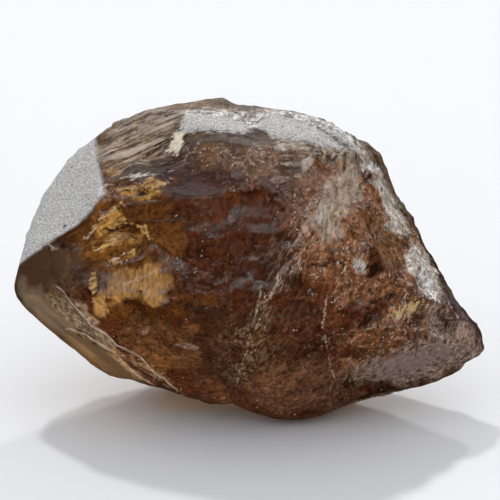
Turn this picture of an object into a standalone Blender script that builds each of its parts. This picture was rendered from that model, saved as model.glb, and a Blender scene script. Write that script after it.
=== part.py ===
"""Rough zircon crystal, one solid stone, built at its real size.

Run it with blender --background --python part.py, or from the text editor.

The stone is star-shaped about a point called its heart: along every
direction from the heart there is exactly one point of skin. The reach of the
skin is worked out in four steps: a pillow swelling out of the girdle outline,
flat faces that cut the pillow, broken hollows and swells, and a low relief of
crests, ripples and grain. An icosphere carries the result, a Decimate
modifier keeps the triangles few, and a Boolean cuts the foot flat.

Inside the stone, places are given in millimetres from the heart as
(across, up, out): across runs along +X, up runs along the girdle plane,
which leans back from the front, and out points from the girdle to the front.
"""

from math import cos, radians, sin

import bmesh
import bpy
import numpy as np

# --- driving dimensions, in millimetres and degrees ---------------------------------------------
MM = 0.001  # one millimetre in metres
LENGTH = 20.1  # the stone's longest extent, along X
LEAN = radians(20.0)  # how far the girdle plane leans back from upright
HEART = np.array([-0.36, -0.65, 6.37])  # the heart's place over the centre of the foot
FRONT_SWELL = 6.4  # how far the pillow stands out in front of the girdle
BACK_SWELL = 7.3  # and behind it
PILLOW_POWER = 2.7  # 2 is an ellipsoid, higher is boxier
FACE_SHARPNESS = 80.0  # how crisp the edges between faces are
BREAK_SHARPNESS = 110.0  # how crisp the rims of broken hollows are
NOTCH_REACH = 0.16  # how far round the skin the outline's small notches carry

ICOSPHERE_STEPS = 7
TRIANGLES = 9400  # what the finished solid keeps
SHARE_ALONG_X = 1.35  # packs the icosphere's points towards the two ends

# The girdle: the stone's widest outline, counter-clockwise from the tail, as (across, up).
GIRDLE = (
    (10.41, -3.70), (10.29, -3.23), (10.29, -2.59), (9.90, -2.42), (9.52, -1.91), (9.01, -1.40),
    (8.59, -0.89), (8.20, 0.00), (7.78, 0.72), (7.27, 1.53), (6.93, 2.38), (6.59, 2.98),
    (6.55, 3.36), (6.29, 4.25), (5.95, 4.68), (5.36, 5.14), (4.68, 5.48), (4.00, 5.61),
    (3.78, 5.87), (3.49, 6.16), (2.72, 6.38), (1.62, 6.46), (0.64, 6.63), (-0.13, 6.72),
    (-0.38, 6.80), (-0.72, 7.01), (-1.53, 7.01), (-2.00, 6.89), (-2.98, 6.72), (-3.91, 6.46),
    (-4.85, 6.16), (-5.78, 5.61), (-6.67, 4.93), (-7.31, 4.38), (-8.03, 3.44), (-8.50, 2.72),
    (-8.80, 1.96), (-9.14, 0.81), (-9.48, -0.30), (-9.61, -0.94), (-9.52, -1.49), (-9.18, -1.96),
    (-8.59, -2.47), (-7.82, -3.06), (-7.01, -3.74), (-6.16, -4.42), (-5.53, -4.76),
    (-4.46, -4.93), (-3.40, -5.14), (-2.64, -5.40), (-1.83, -5.78), (-1.28, -5.99),
    (-0.77, -5.95), (-0.34, -5.78), (0.13, -6.08), (0.72, -6.33), (1.49, -6.60), (2.55, -6.62),
    (3.61, -6.40), (4.42, -6.04), (5.02, -5.74), (6.16, -5.48), (8.08, -5.14), (9.14, -4.80),
    (9.69, -4.29), (10.20, -4.00),
)
# How far the girdle wanders out of its plane: (degrees round from the tail, millimetres out).
GIRDLE_WANDER = (
    (-180, 0.0), (-160, -0.6), (-148, -1.2), (-135, -1.2), (-120, -0.7), (-90, -0.6), (-60, -0.3),
    (-20, 0.0), (20, -1.0), (50, -1.8), (90, -2.0), (130, -2.2), (155, -2.0), (172, -0.6),
)
# Flat faces: (degrees turned to the right of out, degrees tilted up, millimetres from the heart).
FACES = {
    "golden_face": (-24, 4, 5.25),
    "wine_face": (-7, 7, 5.2),
    "caramel_face": (32, -4, 5.95),
    "lobe_face": (10, -36, 5.35),
    "tail_underface": (22, -41, 5.6),
    "nose_face": (-50, 10, 7.0),
    "nose_underface": (-36, -34, 5.75),
    "keel_band": (-22, -50, 5.2),
    "keel_face": (-56, -47, 6.35),
    "frosted_face": (-60, 29, 7.05),
    "top_face": (0, 66, 5.75),
    "brow_face": (2, 50, 5.8),
    "streaky_face": (-26, 50, 5.6),
    "shoulder_face": (48, 37, 6.2),
    "flank_face": (60, 30, 6.15),
    "foot": (180, -70, 6.55),
    "back_face": (172, 6, 6.5),
    "back_nose_face": (-166, 4, 6.35),
    "back_nose_side": (-122, 12, 8.8),
    "back_nose_underface": (-140, -30, 7.0),
    "back_tail_face": (140, 5, 7.15),
    "back_shoulder_face": (148, 44, 6.8),
    "back_brow_face": (-165, 50, 7.0),
    "back_tail_underface": (150, -35, 6.9),
    "tail_side": (128, -12, 9.25),
}
FACE_WAVES = (2.3, 0.12)  # the broken faces are wavy: (size of one wave, height)
EVEN_FACES = ("frosted_face", "foot")  # and these are not
MIDDLE_REACH = 6.5  # the faces' usual distance from the heart, for the size of the waves
# Shell-shaped breaks: (a direction through the middle, width, depth).
BREAKS = {
    "golden_hollow": ((-4.3, 0.3, 3.8), 4.2, 0.30),
    "arch_hollow": ((-1.0, 3.7, 4.2), 3.8, 0.38),
    "dark_notch": ((-3.3, 4.8, 2.5), 2.0, 0.26),
    "silky_hollow_top": ((4.2, 3.6, 3.2), 2.4, 0.40),
    "silky_hollow": ((3.9, 1.6, 3.9), 2.8, 0.34),
    "caramel_bite": ((6.2, 0.8, 2.2), 3.6, 0.45),
    "tail_bite": ((7.4, -0.9, 1.6), 2.4, 0.32),
    "window_underside": ((-3.6, -2.1, 3.6), 4.2, 0.30),
    "shoulder_pit": ((5.3, 3.5, 2.0), 1.2, 0.30),
    "yellow_ledge": ((6.9, -2.1, 1.9), 2.0, 0.30),
    "top_bite": ((2.6, 6.0, 0.4), 2.8, 0.32),
    "top_chip": ((0.4, 6.2, 0.2), 1.7, 0.22),
    "back_shell": ((-3.4, 1.5, -5.4), 5.6, 0.60),
    "back_small_shell": ((1.4, 4.4, -4.6), 4.2, 0.45),
    "back_tail_bite": ((5.4, -0.6, -4.0), 4.4, 0.50),
    "back_foot_bite": ((1.0, -3.4, -5.2), 3.4, 0.35),
    "back_nose_chip": ((-7.2, 0.2, -3.4), 3.0, 0.32),
    "back_tail_chip": ((8.6, -2.9, -1.8), 2.0, 0.25),
    "back_brow_nick": ((-5.3, 3.8, -3.7), 2.6, 0.30),
}
# Rounded swells: (a direction through the middle, width, height).
SWELLS = {
    "foot_lobe": ((2.4, -4.9, 3.2), 5.0, 0.35),
    "tail_knuckle": ((8.5, -2.0, 0.9), 1.6, 0.30),
    "tail_knob": ((9.3, -2.7, 0.6), 1.2, 0.20),
    "tail_wart": ((8.9, -3.3, 1.1), 1.1, 0.16),
    "shoulder_wart": ((4.9, 4.4, 1.6), 1.5, 0.20),
    "back_knuckle": ((6.9, 2.0, -2.8), 2.0, 0.22),
    "back_swell": ((-1.5, -1.6, -5.6), 3.8, 0.25),
}
# Sharp crests on the front: (height, fall-off on the left of the path, on its right, path points
# as (across, up)).
CRESTS = {
    "keel_crest": (0.26, 0.9, 0.24, (
        (-7.5, -0.7), (-7.1, -1.57), (-6.67, -2.38), (-5.74, -3.19), (-4.63, -3.87), (-3.7, -4.55),
        (-2.6, -5.5))),
    "nose_keel_crest": (0.15, 0.35, 0.25, (
        (-7.9, -2.76), (-7.1, -2.85), (-6.3, -3.19), (-5.2, -3.87), (-4.4, -4.68), (-3.8, -5.0))),
    "nose_edge": (0.12, 0.8, 0.4, (
        (-9.1, 0.6), (-7.5, 1.2), (-6.63, 0.34), (-6.8, -1.0), (-7.35, -1.2))),
    "frosted_edge": (0.10, 0.4, 0.5, (
        (-5.6, 5.2), (-5.87, 3.44), (-6.12, 2.5), (-6.55, 1.83), (-7.5, 1.23))),
    "pale_vein": (0.26, 0.35, 0.75, (
        (4.46, 4.55), (3.4, 2.8), (2.8, 1.7), (2.42, 0.85), (2.3, -0.2), (1.06, -1.7), (0.5, -3.05),
        (0.0, -4.4))),
    "arch": (0.16, 0.9, 0.25, (
        (-2.5, 4.3), (-1.8, 4.75), (-0.72, 4.8), (0.1, 4.1))),
    "tail_fold": (0.14, 0.6, 0.3, (
        (3.4, -3.2), (5.0, -2.9), (6.6, -2.6), (8.0, -2.9), (9.4, -3.4))),
    "dark_fold": (-0.20, 0.22, 0.5, (
        (-5.9, 1.6), (-4.7, 1.15), (-3.6, 0.7), (-2.6, 0.3))),
    "dark_dash": (-0.24, 0.2, 0.45, (
        (2.1, -3.15), (2.9, -3.35), (3.6, -3.2))),
    "foot_cleft": (-0.30, 0.25, 0.4, (
        (-0.9, -4.7), (-0.6, -5.3), (-0.3, -6.0))),
}
# Stepped ripples: (centre, radii, degrees the steps run from across, spacing, height).
RIPPLES = {
    "window_steps": ((-4.7, 0.9, 3.5), (2.1, 2.4, 2.5), 18, 0.95, 0.12),
    "streaks": ((-4.0, 4.6, 2.0), (2.4, 1.8, 3.0), 30, 0.85, 0.10),
    "caramel_steps": ((5.0, -0.2, 3.2), (2.2, 2.4, 2.4), 62, 1.05, 0.15),
    "brow_steps": ((1.2, 5.0, 3.0), (2.6, 1.6, 2.6), -8, 0.9, 0.10),
    "back_steps": ((2.5, 0.5, -5.5), (3.2, 3.6, 3.0), -35, 1.2, 0.12),
}
# Grain of the broken skin: (size of one grain, height). The stone's left end is smoother.
GRAINS = ((2.4, 0.18), (1.3, 0.15), (0.85, 0.12))
ROUGH_FROM, ROUGH_TO = -3.5, 3.0  # where across the stone the grain comes up
GRAIN_LEVEL = 0.3  # the share of a grain that stands above the plain skin
SMOOTH_SHARE = 0.35  # what is left of the grain on the smooth end
FROSTED_SHARE = 0.15  # and on the frosted face
WARP = 0.32  # how far hollows and crests are pulled out of true, so that none is round
FOOT_CALM = (0.15, 1.0)  # heights over which the relief comes up, so that the foot stays flat

STONE_BROWN = (0.105, 0.045, 0.022, 1.0)
STONE_ROUGHNESS = 0.22


# --- small helpers ------------------------------------------------------------------------------
def pointing(turn, tilt):
    """The unit vector (across, up, out) turned right and tilted up by these degrees."""
    turn, tilt = radians(turn), radians(tilt)
    return np.array([sin(turn) * cos(tilt), sin(tilt), cos(turn) * cos(tilt)])


def rise(values, low, high):
    """0 below low, 1 above high, and a smooth step between."""
    t = np.clip((values - low) / (high - low), 0.0, 1.0)
    return t * t * (3.0 - 2.0 * t)


def cloud(points, size, seed):
    """Smooth noise from -1 to 1: random values on a lattice of this size, blended between."""
    table = np.random.default_rng(seed).uniform(-1.0, 1.0, (32, 32, 32))
    cell = np.floor(points / size).astype(int)
    part = points / size - cell
    part = part**3 * (part * (part * 6.0 - 15.0) + 10.0)
    total = np.zeros(len(points))
    for corner in np.ndindex(2, 2, 2):
        weight = np.prod(np.where(np.array(corner) == 1, part, 1.0 - part), axis=1)
        i, j, k = ((cell + corner) % 32).T
        total += weight * table[i, j, k]
    return total


def window(points, centre, radii):
    """1 at the centre, fading to 0 beyond the radii."""
    return np.exp(-1.2 * (((points - centre) / radii) ** 2).sum(axis=1))


def beside_path(points, path):
    """Signed distance from a path across the front: positive on the left of its direction."""
    flat = points[:, :2]
    best = np.full(len(points), 1e9)
    signed = best.copy()
    for start, end in zip(np.array(path[:-1]), np.array(path[1:])):
        along = end - start
        share = np.clip((flat - start) @ along / (along @ along), 0.0, 1.0)
        away = flat - start - share[:, None] * along
        distance = np.hypot(*away.T)
        side = np.sign(along[0] * away[:, 1] - along[1] * away[:, 0])
        nearer = distance < best
        best = np.where(nearer, distance, best)
        signed = np.where(nearer, side * distance, signed)
    return signed


# --- the skin -----------------------------------------------------------------------------------
def pillow_gauge(directions):
    """How far out each direction lies on the pillow: 1 is its skin at one millimetre's reach.

    The pillow is a superellipsoid whose equator is the girdle outline. The
    outline's notches fade away from the girdle, where a softened copy of the
    outline takes over.
    """
    outline = np.array(GIRDLE) * LENGTH / np.ptp(np.array(GIRDLE)[:, 0])
    angle = np.arctan2(outline[:, 1], outline[:, 0])
    radius = np.hypot(*outline.T)
    order = np.argsort(angle)
    angle, radius = angle[order], radius[order]
    around = np.arctan2(directions[:, 1], directions[:, 0])
    notched = np.interp(around, angle, radius, period=2 * np.pi)
    spread = np.radians(np.linspace(-14.0, 14.0, 9))
    soft = sum(np.interp(around + s, angle, radius, period=2 * np.pi) for s in spread) / len(spread)
    degrees, wander = np.array(GIRDLE_WANDER, float).T
    drift = np.interp(np.degrees(around), degrees, wander, period=360.0)
    flat = np.hypot(directions[:, 0], directions[:, 1])
    out = directions[:, 2] - drift / notched * flat
    reach = soft + (notched - soft) * np.exp(-((out / NOTCH_REACH) ** 2))
    swell = np.where(out > 0.0, FRONT_SWELL, BACK_SWELL)
    p = PILLOW_POWER
    return ((flat / reach) ** p + (np.abs(out) / swell) ** p) ** (1.0 / p)


def faced_reach(directions):
    """The reach of the pillow after its flat faces are cut, and the number of the nearest face.

    Each face is a plane with slow waves of its own, so that its edges wander.
    The largest of the pillow's gauge and the planes' gauges wins, and a power
    mean makes the edges between them slightly round.
    """
    size, height = FACE_WAVES
    pillow = pillow_gauge(directions)
    gauges = np.empty((len(directions), len(FACES)))
    for number, (name, (turn, tilt, far)) in enumerate(FACES.items()):
        tall = 0.0 if name in EVEN_FACES else height
        away = far + tall * cloud(directions * MIDDLE_REACH, size, 80 + number)
        gauges[:, number] = directions @ pointing(turn, tilt) / away
    gauges = np.maximum(gauges, 1e-9)
    top = np.maximum(gauges.max(axis=1), pillow)
    k = FACE_SHARPNESS
    mean = (((gauges / top[:, None]) ** k).sum(axis=1) + (pillow / top) ** k) ** (1.0 / k)
    return 1.0 / (top * mean), gauges.argmax(axis=1)


def broken_reach(directions, reach):
    """The reach after the swells are added and the shell-shaped breaks are taken out.

    A swell is a bell-shaped bump. A break is the near side of a large sphere
    that dips into the skin by the break's depth over the break's width. Its
    middle lies straight out from the face that the break is in.
    """
    for at, width, height in SWELLS.values():
        aim = np.array(at) / np.linalg.norm(at)
        top = aim * faced_reach(aim[None])[0]
        away = np.linalg.norm(directions * reach[:, None] - top, axis=1) / (width / 2.0)
        reach = reach + height * np.exp(-1.2 * away**2.5)
    skin = directions * reach[:, None]
    pull = np.stack([cloud(skin, 1.5, seed) for seed in (31, 32, 33)], axis=1)
    warped = skin + WARP * pull
    warped /= np.linalg.norm(warped, axis=1)[:, None]
    k = BREAK_SHARPNESS
    faces = list(FACES.values())
    for at, width, depth in BREAKS.values():
        aim = np.array(at) / np.linalg.norm(at)
        far, face = faced_reach(aim[None])
        turn, tilt, _ = faces[face[0]]
        radius = (width**2 / 4.0 + depth**2) / (2.0 * depth)
        middle = aim * far + pointing(turn, tilt) * (radius - depth)
        along = warped @ middle
        inside = along**2 - (middle @ middle - radius**2)
        near = along - np.sqrt(np.maximum(inside, 0.0))
        bite = np.where((inside > 0.0) & (along > 0.0), np.maximum(near, 0.1), 1e3)
        reach = (reach**-k + bite**-k) ** (-1.0 / k)
    return reach


def relief(points, face):
    """Height of the crests, ripples and grain that stand on the skin at these points."""
    frosted = face == list(FACES).index("frosted_face")
    pull = WARP * np.stack([cloud(points, 1.1, seed) for seed in (41, 42, 43)], axis=1)
    warped = points + pull
    front = rise(points[:, 2], 0.0, 0.8)
    height = np.zeros(len(points))
    for tall, left, right, path in CRESTS.values():
        beside = beside_path(warped, path)
        fall = np.where(beside > 0.0, left, right)
        height += tall * front * np.exp(-np.abs(beside) / fall)
    for centre, radii, angle, spacing, tall in RIPPLES.values():
        angle = radians(angle)
        across_steps = warped[:, 1] * cos(angle) - warped[:, 0] * sin(angle)
        phase = (across_steps / spacing) % 1.0
        tooth = np.where(phase < 0.75, phase / 0.75, (1.0 - phase) / 0.25)
        height += tall * (tooth - 0.5) * window(points, centre, radii)
    roughness = SMOOTH_SHARE + (1.0 - SMOOTH_SHARE) * rise(points[:, 0], ROUGH_FROM, ROUGH_TO)
    roughness = np.where(points[:, 2] < 0.0, 1.0, roughness)
    roughness = np.where(frosted, FROSTED_SHARE, roughness)
    for seed, (size, tall) in enumerate(GRAINS, start=3):
        height += tall * roughness * (GRAIN_LEVEL - np.abs(cloud(warped, size, seed)))
    return height


def skin_points(directions):
    """The stone's skin along these directions, in metres, standing on z = 0."""
    reach, face = faced_reach(directions)
    reach = broken_reach(directions, reach)
    points = directions * reach[:, None]
    height_over_foot = HEART[2] + points[:, 1] * cos(LEAN) + points[:, 2] * sin(LEAN)
    points += directions * (relief(points, face) * rise(height_over_foot, *FOOT_CALM))[:, None]
    across, up, out = points.T
    y = up * sin(LEAN) - out * cos(LEAN)
    z = up * cos(LEAN) + out * sin(LEAN)
    return (HEART + np.stack([across, y, z], axis=1)) * MM


# --- building -----------------------------------------------------------------------------------
def clear_scene():
    for obj in list(bpy.data.objects):
        bpy.data.objects.remove(obj, do_unlink=True)


def in_scene(name, mesh):
    obj = bpy.data.objects.new(name, mesh)
    bpy.context.scene.collection.objects.link(obj)
    return obj


def stone_mesh():
    """An icosphere whose points are carried out to the skin."""
    shell = bmesh.new()
    bmesh.ops.create_icosphere(shell, subdivisions=ICOSPHERE_STEPS, radius=1.0)
    mesh = bpy.data.meshes.new("zircon_crystal")
    shell.to_mesh(mesh)
    shell.free()
    directions = np.empty(len(mesh.vertices) * 3)
    mesh.vertices.foreach_get("co", directions)
    directions = directions.reshape(-1, 3)
    # The icosphere's x, z and -y become across, up and out.
    directions = directions[:, [0, 2, 1]] * (SHARE_ALONG_X, 1.0, -1.0)
    directions /= np.linalg.norm(directions, axis=1)[:, None]
    mesh.vertices.foreach_set("co", skin_points(directions).ravel())
    mesh.update()
    return mesh


def foot_cutter():
    """A block whose top is the plane that the stone rests on."""
    shell = bmesh.new()
    bmesh.ops.create_cube(shell, size=2.0 * LENGTH * MM)
    bmesh.ops.translate(shell, verts=shell.verts, vec=(0.0, 0.0, -LENGTH * MM))
    mesh = bpy.data.meshes.new("foot_cutter")
    shell.to_mesh(mesh)
    shell.free()
    cutter = in_scene("foot_cutter", mesh)
    cutter.hide_render = True
    cutter.display_type = "WIRE"
    return cutter


def stone_material():
    material = bpy.data.materials.new("brown_zircon")
    material.use_nodes = True
    shader = material.node_tree.nodes["Principled BSDF"]
    shader.inputs["Base Color"].default_value = STONE_BROWN
    shader.inputs["Roughness"].default_value = STONE_ROUGHNESS
    shader.inputs["Metallic"].default_value = 0.0
    return material


def build_stone():
    mesh = stone_mesh()
    mesh.materials.append(stone_material())
    stone = in_scene("zircon_crystal", mesh)
    fewer = stone.modifiers.new("fewer_triangles", "DECIMATE")
    fewer.ratio = TRIANGLES / len(mesh.polygons)
    foot = stone.modifiers.new("flat_foot", "BOOLEAN")
    foot.operation = "DIFFERENCE"
    foot.object = foot_cutter()
    return stone


def main():
    clear_scene()
    build_stone()


if __name__ == "__main__":
    main()
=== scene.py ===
"""Dresses the rough zircon crystal: its fine skin, its see-through brown stone and a pale studio.

The skin is star-shaped about a point inside the stone called its heart, so it
is one surface over the directions from the heart. Places in the stone are in
millimetres from the heart as (across, up, out): across runs along +X, up runs
along the girdle plane, which leans back from the front, and out points from
the girdle to the front.
"""

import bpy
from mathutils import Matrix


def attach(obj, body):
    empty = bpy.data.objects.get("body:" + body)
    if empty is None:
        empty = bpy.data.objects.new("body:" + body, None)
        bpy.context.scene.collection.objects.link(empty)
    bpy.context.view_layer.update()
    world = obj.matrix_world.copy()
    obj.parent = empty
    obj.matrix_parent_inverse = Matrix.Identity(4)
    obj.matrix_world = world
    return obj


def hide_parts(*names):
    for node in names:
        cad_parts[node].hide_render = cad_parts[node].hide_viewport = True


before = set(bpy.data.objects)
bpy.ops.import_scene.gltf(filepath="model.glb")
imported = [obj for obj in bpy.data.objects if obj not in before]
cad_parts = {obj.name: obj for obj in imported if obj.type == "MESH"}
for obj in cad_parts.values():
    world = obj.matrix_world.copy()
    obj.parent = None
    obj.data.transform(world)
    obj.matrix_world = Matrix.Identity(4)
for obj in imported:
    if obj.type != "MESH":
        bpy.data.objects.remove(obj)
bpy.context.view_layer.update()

from functools import partial
from math import cos, radians, sin

import bpy
import numpy as np
from mathutils import Vector

bl_info = {
    "name": "Rough zircon crystal",
    "version": (1, 0, 0),
    "blender": (4, 5, 0),
    "location": "View3D > Sidebar > Zircon",
    "description": "Builds the fine skin and stone material of a rough zircon crystal in a studio",
    "category": "Object",
}

MM = 0.001  # one millimetre in metres

# --- the stone's form, in millimetres and degrees: the solid's, with finer relief ---------------
LEAN = radians(20.0)  # how far the girdle plane leans back from upright
HEART = np.array([-0.36, -0.65, 6.37])  # the heart's place over the centre of the foot
GIRDLE_LENGTH = 20.1  # the outline's extent along X
FRONT_SWELL = 6.4  # how far the pillow stands out in front of the girdle
BACK_SWELL = 7.3  # and behind it
PILLOW_POWER = 2.7  # 2 is an ellipsoid, higher is boxier
FACE_SHARPNESS = 80.0  # how crisp the edges between faces are
BREAK_SHARPNESS = 140.0  # how crisp the rims of broken hollows are
NOTCH_REACH = 0.16  # how far round the skin the outline's small notches carry
SOFTENING = np.radians(np.linspace(-14.0, 14.0, 9))  # turns whose mean softens the outline
SHARE_ALONG_X = 1.35  # packs the grid's points towards the two ends

# The girdle: the stone's widest outline, counter-clockwise from the tail, as (across, up).
GIRDLE = (
    (10.41, -3.7), (10.29, -3.23), (10.29, -2.59), (9.9, -2.42), (9.52, -1.91), (9.01, -1.4),
    (8.59, -0.89), (8.2, 0.0), (7.78, 0.72), (7.27, 1.53), (6.93, 2.38), (6.59, 2.98), (6.55, 3.36),
    (6.29, 4.25), (5.95, 4.68), (5.36, 5.14), (4.68, 5.48), (4.0, 5.61), (3.78, 5.87), (3.49, 6.16),
    (2.72, 6.38), (1.62, 6.46), (0.64, 6.63), (-0.13, 6.72), (-0.38, 6.8), (-0.72, 7.01),
    (-1.53, 7.01), (-2.0, 6.89), (-2.98, 6.72), (-3.91, 6.46), (-4.85, 6.16), (-5.78, 5.61),
    (-6.67, 4.93), (-7.31, 4.38), (-8.03, 3.44), (-8.5, 2.72), (-8.8, 1.96), (-9.14, 0.81),
    (-9.48, -0.3), (-9.61, -0.94), (-9.52, -1.49), (-9.18, -1.96), (-8.59, -2.47), (-7.82, -3.06),
    (-7.01, -3.74), (-6.16, -4.42), (-5.53, -4.76), (-4.46, -4.93), (-3.4, -5.14), (-2.64, -5.4),
    (-1.83, -5.78), (-1.28, -5.99), (-0.77, -5.95), (-0.34, -5.78), (0.13, -6.08), (0.72, -6.33),
    (1.49, -6.6), (2.55, -6.62), (3.61, -6.4), (4.42, -6.04), (5.02, -5.74), (6.16, -5.48),
    (8.08, -5.14), (9.14, -4.8), (9.69, -4.29), (10.2, -4.0),
)
# How far the girdle wanders out of its plane: (degrees round from the tail, millimetres out).
GIRDLE_WANDER = (
    (-180, 0.0), (-160, -0.6), (-148, -1.2), (-135, -1.2), (-120, -0.7), (-90, -0.6), (-60, -0.3),
    (-20, 0.0), (20, -1.0), (50, -1.8), (90, -2.0), (130, -2.2), (155, -2.0), (172, -0.6),
)
# Flat faces: (degrees turned to the right of out, degrees tilted up, millimetres from the heart).
FACES = {
    "golden_face": (-24, 4, 5.25),
    "wine_face": (-7, 7, 5.2),
    "caramel_face": (32, -4, 5.95),
    "lobe_face": (10, -36, 5.35),
    "tail_underface": (22, -41, 5.6),
    "nose_face": (-50, 10, 7.0),
    "nose_underface": (-36, -34, 5.75),
    "keel_band": (-22, -50, 5.2),
    "keel_face": (-56, -47, 6.35),
    "frosted_face": (-60, 29, 7.05),
    "top_face": (0, 66, 5.75),
    "brow_face": (2, 50, 5.8),
    "streaky_face": (-26, 50, 5.6),
    "shoulder_face": (48, 37, 6.2),
    "flank_face": (60, 30, 6.15),
    "foot": (180, -70, 6.55),
    "back_face": (172, 6, 6.5),
    "back_nose_face": (-166, 4, 6.35),
    "back_nose_side": (-122, 12, 8.8),
    "back_nose_underface": (-140, -30, 7.0),
    "back_tail_face": (140, 5, 7.15),
    "back_shoulder_face": (148, 44, 6.8),
    "back_brow_face": (-165, 50, 7.0),
    "back_tail_underface": (150, -35, 6.9),
    "tail_side": (128, -12, 9.25),
}
FACE_WAVES = (2.3, 0.12)  # the broken faces are wavy: (size of one wave, height)
EVEN_FACES = ("frosted_face", "foot")  # and these are not
MIDDLE_REACH = 6.5  # the faces' usual distance from the heart, for the size of the waves
# Shell-shaped breaks: (a direction through the middle, width, depth).
BREAKS = {
    "golden_hollow": ((-4.3, 0.3, 3.8), 4.2, 0.3),
    "arch_hollow": ((-1.0, 3.7, 4.2), 3.8, 0.38),
    "dark_notch": ((-3.3, 4.8, 2.5), 2.0, 0.26),
    "silky_hollow_top": ((4.2, 3.6, 3.2), 2.4, 0.4),
    "silky_hollow": ((3.9, 1.6, 3.9), 2.8, 0.34),
    "caramel_bite": ((6.2, 0.8, 2.2), 3.6, 0.45),
    "tail_bite": ((7.4, -0.9, 1.6), 2.4, 0.32),
    "window_underside": ((-3.6, -2.1, 3.6), 4.2, 0.3),
    "shoulder_pit": ((5.3, 3.5, 2.0), 1.2, 0.3),
    "yellow_ledge": ((6.9, -2.1, 1.9), 2.0, 0.3),
    "top_bite": ((2.6, 6.0, 0.4), 2.8, 0.32),
    "top_chip": ((0.4, 6.2, 0.2), 1.7, 0.22),
    "back_shell": ((-3.4, 1.5, -5.4), 5.6, 0.6),
    "back_small_shell": ((1.4, 4.4, -4.6), 4.2, 0.45),
    "back_tail_bite": ((5.4, -0.6, -4.0), 4.4, 0.5),
    "back_foot_bite": ((1.0, -3.4, -5.2), 3.4, 0.35),
    "back_nose_chip": ((-7.2, 0.2, -3.4), 3.0, 0.32),
    "back_tail_chip": ((8.6, -2.9, -1.8), 2.0, 0.25),
    "back_brow_nick": ((-5.3, 3.8, -3.7), 2.6, 0.3),
}
# Rounded swells: (a direction through the middle, width, height).
SWELLS = {
    "foot_lobe": ((2.4, -4.9, 3.2), 5.0, 0.35),
    "tail_knuckle": ((8.5, -2.0, 0.9), 1.6, 0.3),
    "tail_knob": ((9.3, -2.7, 0.6), 1.2, 0.2),
    "tail_wart": ((8.9, -3.3, 1.1), 1.1, 0.16),
    "shoulder_wart": ((4.9, 4.4, 1.6), 1.5, 0.2),
    "back_knuckle": ((6.9, 2.0, -2.8), 2.0, 0.22),
    "back_swell": ((-1.5, -1.6, -5.6), 3.8, 0.25),
}
# Crests on the front, and folds and cracks where the height is below 0: (height, fall-off on the
# left of the path, on its right, path points as (across, up)).
CRESTS = {
    "keel_crest": (0.26, 0.9, 0.24, (
        (-7.5, -0.7), (-7.1, -1.57), (-6.67, -2.38), (-5.74, -3.19), (-4.63, -3.87), (-3.7, -4.55),
        (-2.6, -5.5))),
    "nose_keel_crest": (0.15, 0.35, 0.25, (
        (-7.9, -2.76), (-7.1, -2.85), (-6.3, -3.19), (-5.2, -3.87), (-4.4, -4.68), (-3.8, -5.0))),
    "nose_edge": (0.06, 0.8, 0.4, (
        (-9.1, 0.6), (-7.5, 1.2), (-6.63, 0.34), (-6.8, -1.0), (-7.35, -1.2))),
    "frosted_edge": (0.1, 0.4, 0.5, (
        (-5.6, 5.2), (-5.87, 3.44), (-6.12, 2.5), (-6.55, 1.83), (-7.5, 1.23))),
    "pale_vein": (0.26, 0.35, 0.75, (
        (4.46, 4.55), (3.4, 2.8), (2.8, 1.7), (2.42, 0.85), (2.3, -0.2), (1.06, -1.7), (0.5, -3.05),
        (0.0, -4.4))),
    "arch": (0.16, 0.9, 0.25, ((-2.5, 4.3), (-1.8, 4.75), (-0.72, 4.8), (0.1, 4.1))),
    "tail_fold": (0.14, 0.6, 0.3, (
        (3.4, -3.2), (5.0, -2.9), (6.6, -2.6), (8.0, -2.9), (9.4, -3.4))),
    "silk_thread": (0.08, 0.1, 0.14, ((4.7, 4.6), (4.45, 4.0), (4.3, 3.4))),
    "silk_side": (0.08, 0.1, 0.14, ((4.1, 4.3), (3.4, 2.8), (3.1, 1.9), (2.8, 1.3))),
    "right_rim": (0.1, 0.1, 0.14, ((6.3, 4.2), (6.5, 3.4), (6.6, 2.4), (6.75, 1.5))),
    "scoop_rim": (0.1, 0.3, 0.12, ((0.3, 4.5), (0.9, 3.9), (1.6, 3.6), (2.5, 3.65), (2.9, 4.1))),
    "brow_thread": (0.06, 0.1, 0.14, ((1.3, 4.7), (2.2, 4.45), (3.3, 4.65))),
    "ridge_line": (0.12, 0.12, 0.2, ((2.6, 6.4), (3.4, 5.75), (4.7, 4.75))),
    "yellow_rim": (0.1, 0.1, 0.2, ((7.85, -1.85), (6.8, -2.3), (5.8, -2.75))),
    "ledge_rim": (0.1, 0.1, 0.25, ((-5.9, 3.1), (-5.0, 3.5), (-4.2, 3.75), (-3.2, 3.3))),
    "gold_rim": (0.1, 0.12, 0.3, ((-6.4, 1.2), (-5.6, 2.0), (-4.9, 2.55))),
    "dark_fold": (-0.2, 0.22, 0.5, ((-5.9, 1.6), (-4.7, 1.15), (-3.6, 0.7), (-2.6, 0.3))),
    "dark_dash": (-0.24, 0.2, 0.45, ((2.1, -3.15), (2.9, -3.35), (3.6, -3.2))),
    "ledge_crack": (-0.12, 0.12, 0.2, ((-5.2, 2.95), (-4.4, 3.1), (-3.6, 3.15))),
    "bite_crack": (-0.14, 0.12, 0.2, ((3.0, 0.05), (3.5, -0.1), (3.9, 0.15), (4.3, 0.0))),
    "yellow_crack": (-0.14, 0.12, 0.2, ((5.0, -2.75), (5.5, -2.5), (5.9, -2.2))),
    "yellow_top_crack": (-0.12, 0.12, 0.18, ((5.6, -1.65), (6.1, -1.55), (6.6, -1.35))),
    "foot_cleft": (-0.3, 0.25, 0.4, ((-0.9, -4.7), (-0.6, -5.3), (-0.3, -6.0))),
}
GLASSY = ("keel_crest", "nose_keel_crest", "nose_edge", "frosted_edge")  # crests without splinters
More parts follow.
